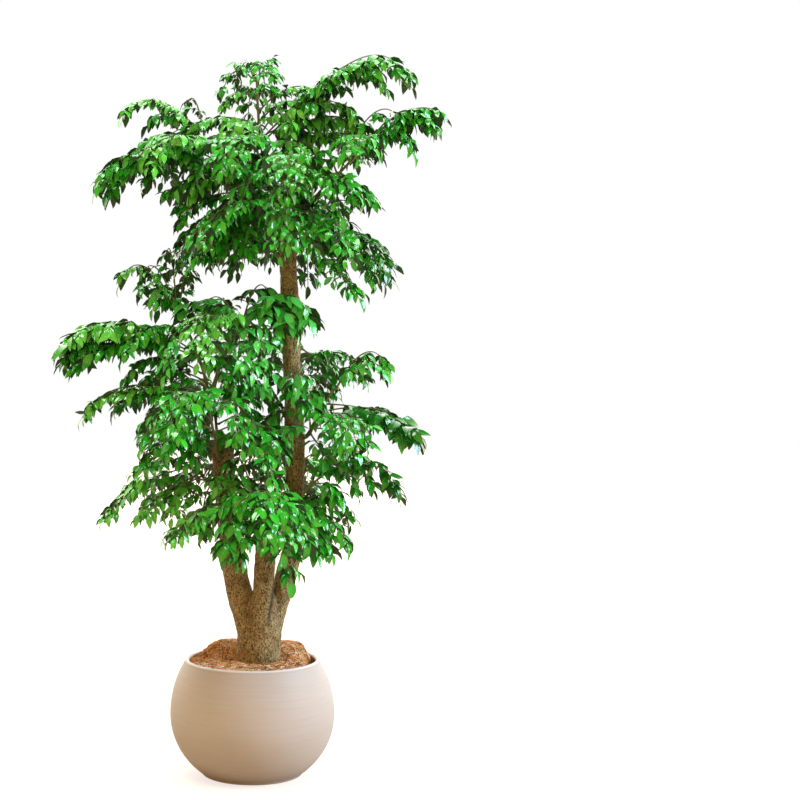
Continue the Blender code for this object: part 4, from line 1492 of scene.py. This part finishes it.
@dataclass(frozen=True)
class CompoundLeaf:
    """One compound leaf: an arching stalk with side stalks, and pairs of leaflets on all of them."""

    name: str
    shoot: str
    at: float  # share of the shoot's length
    azimuth: float  # degrees, 0 to the right, 90 to the back
    reach: float  # level distance from foot to tip
    rise: float  # how high the arch climbs
    drop: float  # how far the tip hangs below the arch
    climb: float = 0.9  # how much of the rise it gains in its first third
    tone: Tone = Tone.MATURE
    leaflet: float = 0.030  # length of its typical leaflet
    alone: bool = False  # whether no smaller leaves grow beside it
    batch: LeafletBatch = FINE_LEAFLETS
    bare_share: float = 0.17  # of the stalk, before the first side stalk
    last_share: float = 0.90  # of the stalk, at the last side stalk
    stalk_spacing: float = 0.0265
    leaflet_spacing: float = 0.0150
    side_stalk: float = 0.34  # length of the longest side stalk, over the reach
    stalk_radii: tuple[float, float] = (0.0024, 0.0009)
    seat_radius: float = 0.0034
    side_radii: tuple[float, float] = (0.0010, 0.0005)
    side_limits: tuple[float, float] = (0.036, 0.095)  # of the longest side stalk
    side_taper: float = 0.62  # how much shorter the side stalks are at the tip
    side_lift: float = 0.12  # how far a side stalk points up at its foot
    side_sag: tuple[float, float] = (0.15, 0.50)  # how far its tip sinks, over its length
    side_scatter: float = 0.008  # spread of the side stalks' places, over the stalk's length
    side_spread: float = 0.10  # spread of their lengths
    tip_share: float = 0.86  # of the stalk, at the first leaflets that it holds itself
    tip_leaflet: float = 1.12  # length of those leaflets, over the typical one
    # Middle and spread of each kind of random draw, in degrees where it is an angle.
    stalk_sweep: tuple[float, float] = (46.0, 8.0)
    side_sweep: tuple[float, float] = (40.0, 10.0)
    main_sweep: tuple[float, float] = (40.0, 8.0)
    droop: tuple[float, float] = (20.0, 16.0)
    droop_range: tuple[float, float] = (-18.0, 62.0)
    roll: float = 0.42
    size_spread: float = 0.17
    size_range: tuple[float, float] = (0.6, 1.45)
    curl: tuple[float, float] = (0.90, 0.30)
    curl_range: tuple[float, float] = (0.25, 1.7)

    def arch(self, foot: np.ndarray, shares: np.ndarray) -> np.ndarray:
        """Points of the main stalk.

        In words: a cubic curve that climbs, levels out and drops at its tip.

        Args:
            foot: Where the stalk leaves its shoot.
            shares: Places along it, from 0 to 1.

        Returns:
            One point for each share.
        """
        ahead = heading(self.azimuth)
        controls = np.array([
            foot,
            foot + ahead * self.reach * 0.34 + UP * self.rise * self.climb,
            foot + ahead * self.reach * 0.80 + UP * self.rise * 1.25,
            foot + ahead * self.reach + UP * (self.rise - self.drop),
        ])
        t = np.asarray(shares)[:, None]
        return np.hstack([(1 - t) ** 3, 3 * t * (1 - t) ** 2, 3 * t**2 * (1 - t), t**3]) @ controls

    def grow(self, shell: Shell, path: np.ndarray, shoot: Shoot, seed: int) -> int:
        """Grow the leaf into a shell.

        Args:
            shell: Where the leaf goes.
            path: The axis of the shoot that it grows on.
            shoot: That shoot.
            seed: Seed of the leaf's random draws.

        Returns:
            How many leaflets it has.
        """
        random = np.random.default_rng(seed)
        seat = at_share(path, np.array([min(self.at, 0.995)]))[0]
        foot = seat + heading(self.azimuth) * (shoot.tip_radius * 0.5 + 0.006)
        route = np.vstack([seat, self.arch(foot, np.linspace(0.0, 1.0, 22))])
        level_side = np.cross(UP, heading(self.azimuth))
        widths = np.linspace(*self.stalk_radii, len(route))
        widths[:2] = self.seat_radius
        add_tubes(shell, tube(route, widths, 6, level_side)[None], (MAP_CELLS - 1, 0))
        on_main = self.main_leaflets(route, level_side, random)
        on_sides = self.side_leaflets(shell, route, level_side, random)
        feet, axes, lengths = (np.concatenate(pair) for pair in zip(on_main, on_sides))
        self.hang(shell, feet, axes, lengths, random)
        return len(feet)

    def side_leaflets(
        self, shell: Shell, route: np.ndarray, level_side: np.ndarray, random: np.random.Generator
    ) -> tuple[np.ndarray, np.ndarray, np.ndarray]:
        """Grow the side stalks, and place leaflets on them.

        In words: side stalks leave the main stalk in pairs, swept forward. Each sinks by the square of
        its length, and shorter ones follow towards the tip.

        Args:
            shell: Where the side stalks go.
            route: The main stalk.
            level_side: The main stalk's left.
            random: The leaf's random draws.

        Returns:
            Feet, directions and lengths of the leaflets.
        """
        first, last = self.bare_share, self.last_share
        pairs = max(3, round(self.reach * (last - first) / self.stalk_spacing))
        places = np.repeat(first + (last - first) * (np.arange(pairs) + 0.5) / pairs, 2)
        places = places + random.normal(0.0, self.side_scatter, 2 * pairs)
        hand = np.tile((1.0, -1.0), pairs)
        start = at_share(route, places)
        ahead = unit(at_share(along(route), places))
        sweep = np.radians(random.normal(*self.stalk_sweep, 2 * pairs))[:, None]
        lean = unit(ahead * np.sin(sweep) + level_side * np.cos(sweep) * hand[:, None] + UP * self.side_lift)
        longest = np.clip(self.reach * self.side_stalk, *self.side_limits)
        length = longest * (1.0 - self.side_taper * places**1.5)
        length = length * random.normal(1.0, self.side_spread, 2 * pairs)
        sag = random.uniform(*self.side_sag, 2 * pairs)

        def on_stalks(t: np.ndarray) -> np.ndarray:
            """Points of the side stalks at shares t of their lengths."""
            sunk = t[..., None] * lean[:, None] - (sag[:, None] * t**2)[..., None] * UP
            return start[:, None] + length[:, None, None] * sunk

        stalks = on_stalks(np.broadcast_to(np.linspace(0.0, 1.0, 5), (2 * pairs, 5)))
        widths = np.broadcast_to(np.linspace(*self.side_radii, 5), stalks.shape[:2])
        add_tubes(shell, tube(stalks, widths, 3, UP + 0.02), (MAP_CELLS - 1, 0))

        # each stalk has as many pairs as its length holds, and one leaflet at its end
        held = np.maximum(1, np.round(length / self.leaflet_spacing)).astype(int)[:, None]
        step = np.concatenate([np.repeat(np.arange(held.max()), 2), [-1]])[None, :]
        side = np.concatenate([np.tile((1.0, -1.0), held.max()), [0.0]])[None, :]
        t = np.where(step < 0, 1.0, (step + 0.65) / (held + 0.30))
        feet = on_stalks(t)
        pointing = unit(lean[:, None] - 2.0 * (sag[:, None] * t)[..., None] * UP)
        left = unit(np.cross(UP, pointing))
        sweep = np.radians(random.normal(*self.side_sweep, t.shape))
        sweep = np.where(side == 0.0, math.pi / 2, sweep)[..., None]
        axes = pointing * np.sin(sweep) + left * np.cos(sweep) * side[..., None]
        lengths = self.leaflet * (0.80 + 0.34 * np.sin(np.pi * np.clip(t, 0.0, 0.75)))
        kept = step < held
        return feet[kept], axes[kept], lengths[kept]

    def main_leaflets(
        self, route: np.ndarray, level_side: np.ndarray, random: np.random.Generator
    ) -> tuple[np.ndarray, np.ndarray, np.ndarray]:
        """Place leaflets on the end of the main stalk, and one at its tip.

        Args:
            route: The main stalk.
            level_side: The main stalk's left.
            random: The leaf's random draws.

        Returns:
            Feet, directions and lengths of the leaflets.
        """
        pairs = max(2, round(self.reach * 0.16 / self.leaflet_spacing))
        paired = self.tip_share + 0.12 * np.arange(pairs) / pairs
        shares = np.concatenate([np.repeat(paired, 2), [1.0]])
        sides = np.concatenate([np.tile((1.0, -1.0), pairs), [0.0]])
        feet = at_share(route, shares)
        pointing = unit(at_share(along(route), shares))
        sweep = np.radians(random.normal(*self.main_sweep, len(shares)))[:, None]
        sweep = np.where(sides[:, None] == 0.0, math.pi / 2, sweep)
        axes = pointing * np.sin(sweep) + level_side * np.cos(sweep) * sides[:, None]
        lengths = np.full(len(shares), self.leaflet * self.tip_leaflet)
        return feet, axes, lengths

    def hang(
        self, shell: Shell, feet: np.ndarray, axes: np.ndarray, lengths: np.ndarray,
        random: np.random.Generator,
    ) -> None:
        """Let the leaflets hang from their feet, and add them.

        In words: each direction is turned down by its own angle, and the upper side faces as far up as
        that direction lets it, rolled a little to one side.

        Args:
            shell: Where the leaflets go.
            feet: Where each leaflet is held.
            axes: Its direction before it hangs.
            lengths: Its length.
            random: The leaf's random draws.
        """
        count = len(feet)
        droop = np.radians(np.clip(random.normal(*self.droop, count), *self.droop_range))[:, None]
        level = unit(axes * (1.0, 1.0, 0.35))
        axes = unit(level * np.cos(droop) - UP * np.sin(droop))
        facing = unit(UP - axes * (axes @ UP)[:, None])
        roll = random.normal(0.0, self.roll, count)[:, None]
        facing = facing * np.cos(roll) + np.cross(axes, facing) * np.sin(roll)
        lengths = lengths * np.clip(random.normal(1.0, self.size_spread, count), *self.size_range)
        curls = np.clip(random.normal(*self.curl, count), *self.curl_range)
        phases = random.uniform(0.0, 2.0 * np.pi, count)
        points = self.batch.points(feet, axes, facing, lengths, curls, phases)
        self.batch.add_to(shell, random.integers(0, MAP_CELLS * (MAP_CELLS - 1), count), points)


# A leaf at a shoot's tip is still small, and its parts stand close.
SMALL = {"leaflet": 0.023, "leaflet_spacing": 0.0125, "stalk_spacing": 0.0195, "alone": True}

# The leaves of the CAD model, each a piece of its own. Their tones are partly painted light and shade.
LEAVES = (
    # tuft at the top
    CompoundLeaf("leaf_top_left", "shoot_leader", 0.98, 188, 0.078, 0.03, 0.07, 1.2, **SMALL),
    CompoundLeaf("leaf_top_right", "shoot_leader", 1.0, 20, 0.036, 0.038, 0.08, **SMALL),
    CompoundLeaf("leaf_top_front", "shoot_leader", 0.91, 276, 0.16, 0.076, 0.11, **SMALL),
    CompoundLeaf("leaf_top_back", "shoot_leader", 0.87, 98, 0.17, 0.06, 0.1, **SMALL),
    # along the leader
    CompoundLeaf("leaf_high_right", "shoot_leader", 0.64, 342, 0.368, 0.246, 0.134, 0.46, leaflet=0.034,
                 alone=True),
    CompoundLeaf("leaf_high_front", "shoot_leader", 0.5, 250, 0.29, 0.07, 0.11),
    CompoundLeaf("leaf_high_back", "shoot_leader", 0.46, 110, 0.29, 0.07, 0.11),
    # upper right
    CompoundLeaf("leaf_right_tip", "shoot_upper_right", 1.0, 10, 0.19, 0.104, 0.024, leaflet=0.034,
                 alone=True),
    CompoundLeaf("leaf_right_back", "shoot_upper_right", 0.9, 84, 0.2, 0.065, 0.06, alone=True),
    CompoundLeaf("leaf_right_front", "shoot_upper_right", 0.84, 272, 0.22, 0.065, 0.08, alone=True),
    CompoundLeaf("leaf_right_small", "shoot_upper_right", 0.56, 350, 0.126, 0.02, 0.06, alone=True),
    CompoundLeaf("leaf_skirt_right", "shoot_upper_right", 0.2, 340, 0.212, 0.018, 0.102, tone=Tone.DEEP,
                 alone=True),
    CompoundLeaf("leaf_skirt_right_back", "shoot_upper_right", 0.22, 36, 0.25, -0.005, 0.12,
                 tone=Tone.DEEP),
    # upper left
    CompoundLeaf("leaf_left_tip", "shoot_upper_left", 1.0, 176, 0.202, 0.114, 0.06, 1.0, leaflet=0.028,
                 leaflet_spacing=0.0155, stalk_spacing=0.024, tone=Tone.YOUNG, alone=True),
    CompoundLeaf("leaf_left_back", "shoot_upper_left", 0.92, 120, 0.27, 0.05, 0.1),
    CompoundLeaf("leaf_left_front", "shoot_upper_left", 0.86, 232, 0.25, 0.06, 0.1, tone=Tone.YOUNG,
                 alone=True),
    CompoundLeaf("leaf_left_mid", "shoot_upper_left", 0.66, 186, 0.33, 0.102, 0.124, 1.0, leaflet=0.036,
                 alone=True),
    CompoundLeaf("leaf_skirt_left", "shoot_upper_left", 0.4, 204, 0.205, 0.005, 0.12, tone=Tone.DEEP),
    # front and back of the upper crown
    CompoundLeaf("leaf_front_tip", "shoot_upper_front", 1.0, 268, 0.23, 0.06, 0.12),
    CompoundLeaf("leaf_front_left", "shoot_upper_front", 0.72, 212, 0.26, 0.02, 0.13),
    CompoundLeaf("leaf_front_right", "shoot_upper_front", 0.66, 310, 0.2, 0.0, 0.12, alone=True),
    CompoundLeaf("leaf_back_tip", "shoot_upper_back", 1.0, 92, 0.22, 0.06, 0.12),
    CompoundLeaf("leaf_back_left", "shoot_upper_back", 0.62, 152, 0.27, 0.01, 0.13, tone=Tone.DEEP),
    # right side of the middle crown
    CompoundLeaf("leaf_mid_right_top", "shoot_mid_right", 1.0, 2, 0.124, 0.102, 0.056, alone=True),
    CompoundLeaf("leaf_mid_right", "shoot_mid_right", 0.62, 352, 0.233, 0.02, 0.092, leaflet=0.045,
                 tone=Tone.DEEP, alone=True),
    CompoundLeaf("leaf_mid_right_front", "shoot_mid_right", 0.5, 292, 0.23, 0.03, 0.1, alone=True),
    CompoundLeaf("leaf_mid_back", "shoot_mid_back", 1.0, 66, 0.21, -0.035, 0.055, alone=True),
    # left side of the middle crown
    CompoundLeaf("leaf_spray_high", "shoot_left", 1.0, 177, 0.136, 0.118, 0.056, 1.0, leaflet=0.029,
                 tone=Tone.YOUNG),
    CompoundLeaf("leaf_spray_long", "shoot_left", 0.72, 184, 0.318, 0.088, 0.082, leaflet=0.041,
                 tone=Tone.YOUNG, alone=True),
    CompoundLeaf("leaf_centre_bright", "shoot_left_inner", 1.0, 346, 0.165, 0.08, 0.085,
                 tone=Tone.FRESH, leaflet=0.046, alone=True),
    CompoundLeaf("leaf_centre_front", "shoot_left_inner", 0.8, 252, 0.24, 0.07, 0.13, tone=Tone.YOUNG),
    CompoundLeaf("leaf_left_front_low", "shoot_left_front", 1.0, 250, 0.24, 0.05, 0.12),
    CompoundLeaf("leaf_left_front_side", "shoot_left_front", 0.66, 214, 0.13, 0.02, 0.09, alone=True),
    CompoundLeaf("leaf_centre_low", "shoot_left_front", 0.5, 318, 0.185, 0.03, 0.13, alone=True),
    CompoundLeaf("leaf_left_back_low", "shoot_left_back", 1.0, 118, 0.24, 0.05, 0.12),
    CompoundLeaf("leaf_left_second", "shoot_left", 0.42, 180, 0.302, 0.05, 0.098, tone=Tone.YOUNG,
                 alone=True),
    CompoundLeaf("leaf_left_low", "shoot_left_low", 0.62, 186, 0.225, -0.035, 0.095, 0.2,
                 tone=Tone.YOUNG, alone=True),
    # the lowest leaves
    CompoundLeaf("leaf_low_right", "shoot_low_right", 1.0, 2, 0.198, 0.066, 0.1, 1.0, leaflet=0.036,
                 tone=Tone.DEEP, alone=True),
    CompoundLeaf("leaf_low_front", "shoot_low_front", 1.0, 288, 0.2, 0.03, 0.14, leaflet=0.037),
    CompoundLeaf("leaf_low_left", "shoot_low_front", 0.8, 204, 0.215, 0.012, 0.085, tone=Tone.YOUNG),
    CompoundLeaf("leaf_low_back", "shoot_low_back", 1.0, 84, 0.21, 0.01, 0.12, alone=True),
)

# Leaves that thicken the crown, by shoot: at, azimuth, reach, rise, drop, climb and leaflet of each. One
# with a small leaf's leaflets is a small leaf throughout.
MORE_LEAVES = {
    "shoot_leader": (
        (1.0, 150, 0.05, 0.042, 0.05, 1.1, 0.023), (0.9, 182, 0.076, 0.008, 0.04, 0.9, 0.023),
        (0.74, 180, 0.175, 0.024, 0.065, 0.9, 0.028), (0.67, 184, 0.165, 0.01, 0.055, 0.9, 0.03),
        (0.66, 350, 0.232, 0.1, 0.07, 0.9, 0.03), (0.58, 310, 0.15, 0.03, 0.08, 0.9, 0.03),
        (0.52, 8, 0.28, 0.09, 0.07, 0.9, 0.03), (0.82, 356, 0.15, 0.062, 0.045, 1.0, 0.026),
        (0.58, 0, 0.24, 0.098, 0.055, 0.9, 0.036), (0.66, 346, 0.3, 0.205, 0.095, 0.5, 0.032),
        (0.76, 340, 0.105, 0.048, 0.03, 0.9, 0.028), (0.67, 22, 0.12, 0.03, 0.045, 0.9, 0.03),
        (0.68, 304, 0.125, 0.052, 0.06, 0.9, 0.03), (0.64, 236, 0.13, 0.05, 0.06, 0.9, 0.03),
    ),
    "shoot_upper_left": (
        (1.0, 148, 0.056, 0.11, 0.03, 1.1, 0.023), (0.88, 174, 0.118, 0.078, 0.05, 0.9, 0.028),
        (0.97, 179, 0.142, 0.086, 0.036, 0.9, 0.029), (0.68, 180, 0.295, 0.086, 0.125, 1.0, 0.036),
        (0.42, 168, 0.175, 0.01, 0.1, 0.9, 0.03), (0.58, 190, 0.15, -0.005, 0.075, 0.9, 0.03),
        (0.72, 190, 0.155, 0.0, 0.055, 0.9, 0.03), (0.3, 205, 0.22, -0.01, 0.1, 0.9, 0.03),
    ),
    "shoot_upper_right": (
        (0.97, 355, 0.16, 0.11, 0.065, 0.9, 0.03), (0.7, 355, 0.16, 0.168, 0.06, 1.0, 0.03),
        (0.45, 340, 0.13, 0.06, 0.07, 0.9, 0.03), (0.74, 200, 0.058, 0.062, 0.05, 0.9, 0.03),
        (0.97, 340, 0.118, 0.05, 0.056, 0.9, 0.036), (1.0, 4, 0.165, 0.086, 0.045, 0.9, 0.038),
        (0.2, 318, 0.165, -0.08, 0.08, 0.9, 0.03),
    ),
    "shoot_left": (
        (1.0, 60, 0.055, 0.104, 0.035, 1.1, 0.025), (1.0, 128, 0.045, 0.142, 0.02, 1.2, 0.027),
        (0.97, 184, 0.09, 0.076, 0.03, 0.9, 0.028), (1.0, 162, 0.09, 0.112, 0.035, 1.0, 0.028),
        (0.7, 177, 0.318, 0.072, 0.09, 0.9, 0.036), (0.68, 182, 0.29, 0.058, 0.085, 0.9, 0.036),
        (0.4, 181, 0.225, 0.036, 0.06, 0.9, 0.027), (0.58, 181, 0.18, 0.052, 0.07, 0.9, 0.03),
    ),
    "shoot_left_inner": (
        (1.0, 166, 0.145, 0.064, 0.055, 0.9, 0.036), (1.0, 20, 0.105, 0.075, 0.06, 0.9, 0.038),
        (1.0, 336, 0.135, 0.054, 0.07, 0.9, 0.044), (1.0, 42, 0.09, 0.096, 0.04, 1.1, 0.034),
        (1.0, 158, 0.085, 0.068, 0.03, 1.0, 0.036), (0.95, 330, 0.105, 0.036, 0.06, 0.9, 0.041),
        (0.4, 338, 0.12, -0.018, 0.042, 0.9, 0.034),
    ),
    "shoot_mid_back": ((0.95, 2, 0.12, -0.03, 0.04, 0.9, 0.03),),
    "shoot_mid_right": (
        (0.75, 356, 0.18, -0.005, 0.08, 0.9, 0.036), (0.35, 322, 0.085, 0.0, 0.06, 0.9, 0.03),
        (0.24, 326, 0.055, -0.03, 0.032, 0.9, 0.034), (1.0, 356, 0.115, 0.08, 0.05, 0.9, 0.034),
        (0.34, 246, 0.104, 0.158, 0.066, 0.9, 0.038),
    ),
    "shoot_low_back": ((1.0, 345, 0.17, 0.05, 0.06, 0.9, 0.03),),
    "shoot_low_right": (
        (0.92, 14, 0.15, 0.068, 0.078, 0.9, 0.034), (0.96, 348, 0.062, 0.006, 0.036, 0.9, 0.034),
        (0.55, 332, 0.092, -0.036, 0.062, 0.9, 0.038), (0.32, 308, 0.112, -0.015, 0.05, 0.9, 0.036),
    ),
    "shoot_left_low": (
        (0.45, 240, 0.13, -0.01, 0.08, 0.9, 0.03), (0.5, 215, 0.165, -0.03, 0.07, 0.9, 0.03),
        (0.25, 262, 0.13, -0.015, 0.085, 0.9, 0.03),
    ),
    "shoot_low_front": (
        (1.0, 150, 0.055, 0.086, 0.025, 1.1, 0.03), (0.45, 312, 0.092, -0.015, 0.11, 0.9, 0.036),
    ),
}


@dataclass
class Crown:
    """All that grows above the trunk: shoots, compound leaves, and the leaves that fill the middle."""

    stock: OldStock
    shoots: tuple[Shoot, ...] = SHOOTS
    leaves: tuple[CompoundLeaf, ...] = LEAVES
    golden_angle: float = 137.5
    first_turn: float = 47.0  # how far each shoot's first leaf is turned from the last shoot's
    filler_rise: float = 0.035
    filler_drop: float = 0.085
    first_seed: int = 100  # of the leaves of the CAD model, one seed each
    first_inner_seed: int = 1000
    seeds_a_shoot: int = 10
    companion_turn: float = 48.0
    companion_seat: float = 0.93  # these three are over the leaf's own
    companion_reach: float = 0.66
    companion_rise: float = 0.7

    def paths(self) -> dict[str, np.ndarray]:
        """Lay out the axis of every stem and shoot.

        Returns:
            Their points, one a row, by name.
        """
        routes = {stem.name: stem.table()[:, :3] for stem in self.stock.stems}
        radii = {stem.name: float(stem.table()[-1, 3]) for stem in self.stock.stems}
        for shoot in self.shoots:
            routes[shoot.name] = shoot.path(routes[shoot.parent], radii[shoot.parent])
            radii[shoot.name] = shoot.radius
        return routes

    def fillers(self, shoot: Shoot, number: int) -> list[CompoundLeaf]:
        """Leaves that fill the crown along one shoot.

        In words: after the listed ones they follow each other up the shoot, each turned on by the golden
        angle, and then each leaf of the CAD model that isn't alone gets a smaller one on either side.

        Args:
            shoot: The shoot that carries them.
            number: The shoot's place in the list, which turns the first leaf.

        Returns:
            The leaves, in the order of their seeds.
        """
        low, high = shoot.filler_shares
        made = []
        for *shape, leaflet in MORE_LEAVES.get(shoot.name, ()):
            sizes = SMALL if leaflet == SMALL["leaflet"] else {"leaflet": leaflet}
            made.append(CompoundLeaf("inner_leaf", shoot.name, *shape, **sizes))
        for index in range(shoot.fillers):
            azimuth = (number * self.first_turn + index * self.golden_angle) % 360.0
            share = low + (high - low) * index / max(1, shoot.fillers - 1)
            made.append(CompoundLeaf("inner_leaf", shoot.name, share, azimuth, shoot.filler_reach,
                                     self.filler_rise, self.filler_drop))
        for leaf in self.leaves:
            if leaf.shoot == shoot.name and not leaf.alone:
                for turn in (self.companion_turn, -self.companion_turn):
                    made.append(replace(leaf, name="inner_leaf", at=leaf.at * self.companion_seat,
                                        azimuth=leaf.azimuth + turn, reach=leaf.reach * self.companion_reach,
                                        rise=leaf.rise * self.companion_rise))
        return [replace(leaf, batch=PLAIN_LEAFLETS) for leaf in made]

    def build(self) -> None:
        """Grow and dress every shoot and leaf."""
        routes = self.paths()
        bark = YoungBark().material()
        materials = {tone: tone.value.material() for tone in Tone}
        shoots = {shoot.name: shoot for shoot in self.shoots}
        leaflets = 0
        for number, shoot in enumerate(self.shoots):
            dress(shoot.build(routes[shoot.name]), bark, [shoot.name])
            shell = Shell()
            seed = self.first_inner_seed + self.seeds_a_shoot * number
            for index, leaf in enumerate(self.fillers(shoot, number)):
                leaflets += leaf.grow(shell, routes[shoot.name], shoot, seed + index)
            if shell.count:
                piece = shell.lay(f"{shoot.name}_inner_leaves", 60)
                dress(piece, materials[shoot.tone])
        for number, leaf in enumerate(self.leaves):
            shell = Shell()
            seed = self.first_seed + number
            leaflets += leaf.grow(shell, routes[leaf.shoot], shoots[leaf.shoot], seed)
            piece = shell.lay(f"{leaf.name}_foliage", 60)
            dress(piece, materials[leaf.tone], [leaf.name])
        log.info("%d leaflets", leaflets)


# ---------------------------------------------------------------- the studio
@dataclass(frozen=True)
class Lamp:
    """One broad, far light."""

    name: str
    azimuth: float  # where it hangs, in degrees, 0 to the right and -90 in front
    height: float  # how many degrees it stands above the floor
    spread: float  # how many degrees it is wide, which softens its shadows
    power: float
    colour: str  # in sRGB hex

    def hang(self) -> None:
        """Hang the light and aim it at the plant."""
        sun = bpy.data.lights.new(self.name, "SUN")
        sun.angle = math.radians(self.spread)
        sun.energy = self.power
        sun.color = linear(self.colour)[:3]
        lamp = bpy.data.objects.new(self.name, sun)
        bpy.context.collection.objects.link(lamp)
        lamp.rotation_euler = (math.radians(90.0 - self.height), 0.0, math.radians(self.azimuth + 90.0))


LAMPS = (
    Lamp("key_light", -15.0, 28.0, 34.0, 3.3, "CCE0FF"),
    Lamp("top_light", -105.0, 75.0, 30.0, 1.75, "FFFDF6"),
    Lamp("room_light", -110.0, 20.0, 90.0, 0.5, "FFC88A"),
    Lamp("back_light", 90.0, 45.0, 60.0, 0.6, "FFFFFF"),
)


@dataclass
class Studio:
    """A pale floor, soft lights and the camera."""

    camera_place: tuple[float, float, float] = (0.0, -4.0, 1.05)
    lens: float = 73.8
    shift: tuple[float, float] = (0.1846, -0.073)
    lamps: tuple[Lamp, ...] = LAMPS
    floor_size: float = 24.0
    floor_gap: float = 0.0002  # under the pot's foot
    room_strength: float = 0.85
    ceiling_strength: float = 0.02
    paper_strength: float = 2.4
    room_colour: str = "FFC88A"
    fade_end: float = 0.9  # the sine of the angle at which the room's light stops changing

    def build_floor(self) -> None:
        """Lay the floor, a little below the pot's foot."""
        half = self.floor_size / 2
        corners = np.array([(-half, -half, 0.0), (half, -half, 0.0), (half, half, 0.0), (-half, half, 0.0)])
        shell = Shell()
        shell.add(corners - UP * self.floor_gap, [np.array([[0, 1, 2, 3]])])
        floor = shell.lay("studio_floor")
        floor.data.materials.append(StudioPaper().material())

    def build_world(self) -> bpy.types.World:
        """Make the room's light: warm from the sides, dim overhead, and white from the paper behind.

        Returns:
            The world, plain white behind the plant.
        """
        made = bpy.data.worlds.new("studio_world")
        made.use_nodes = True
        nodes = Nodes(made.node_tree)
        seen = nodes.add("LightPath")["Is Camera Ray"]
        way = nodes.add("SeparateXYZ", None, {0: nodes.add("TexCoord")["Generated"]})
        fade = (0.0, self.fade_end)
        glow = nodes.spread(way["Z"], fade, (self.room_strength, self.ceiling_strength), smooth=True)
        behind = nodes.spread(way["Y"], fade, (0.0, self.paper_strength), smooth=True)
        shades = ((self.room_colour, glow), ("FFFFFF", behind), ("FFFFFF", 1.0))
        room, paper, white = (nodes.add("Background", None, {"Color": colour, "Strength": strength})[0]
                              for colour, strength in shades)
        lit = nodes.add("AddShader", None, {0: room, 1: paper})[0]
        either = nodes.add("MixShader", None, {0: seen, 1: lit, 2: white})[0]
        nodes.feed(made.node_tree.nodes["World Output"].inputs["Surface"], either)
        return made

    def build(self) -> None:
        """Set up the floor, the lights, the world and the camera."""
        scene = bpy.context.scene
        scene.view_settings.view_transform = "Standard"
        self.build_floor()
        for lamp in self.lamps:
            lamp.hang()
        scene.world = self.build_world()
        lens = bpy.data.cameras.new("camera")
        lens.lens = self.lens
        lens.sensor_width = 36.0
        lens.shift_x, lens.shift_y = self.shift
        camera = bpy.data.objects.new("camera", lens)
        bpy.context.collection.objects.link(camera)
        camera.location = self.camera_place
        camera.rotation_euler = (math.pi / 2, 0.0, 0.0)
        scene.camera = camera


def dress_soil() -> None:
    """Give the CAD model's potting soil its material."""
    soil = frame["nodes"]["potting_soil"]
    soil.data.materials.clear()
    soil.data.materials.append(DampSoil().material())
    log.info("potting_soil: kept from the CAD model")


def main() -> None:
    """Build the plant, then the studio round it."""
    logging.basicConfig(level=logging.INFO, format="%(message)s")
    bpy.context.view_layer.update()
    planter = BallPlanter()
    planter.build()
    dress_soil()
    stock = OldStock()
    stock.build()
    mulch = CoirMulch(planter, stock)
    mulch.build_bed()
    mulch.build_strands()
    Crown(stock).build()
    Studio().build()


if __name__ == "__main__":
    main()
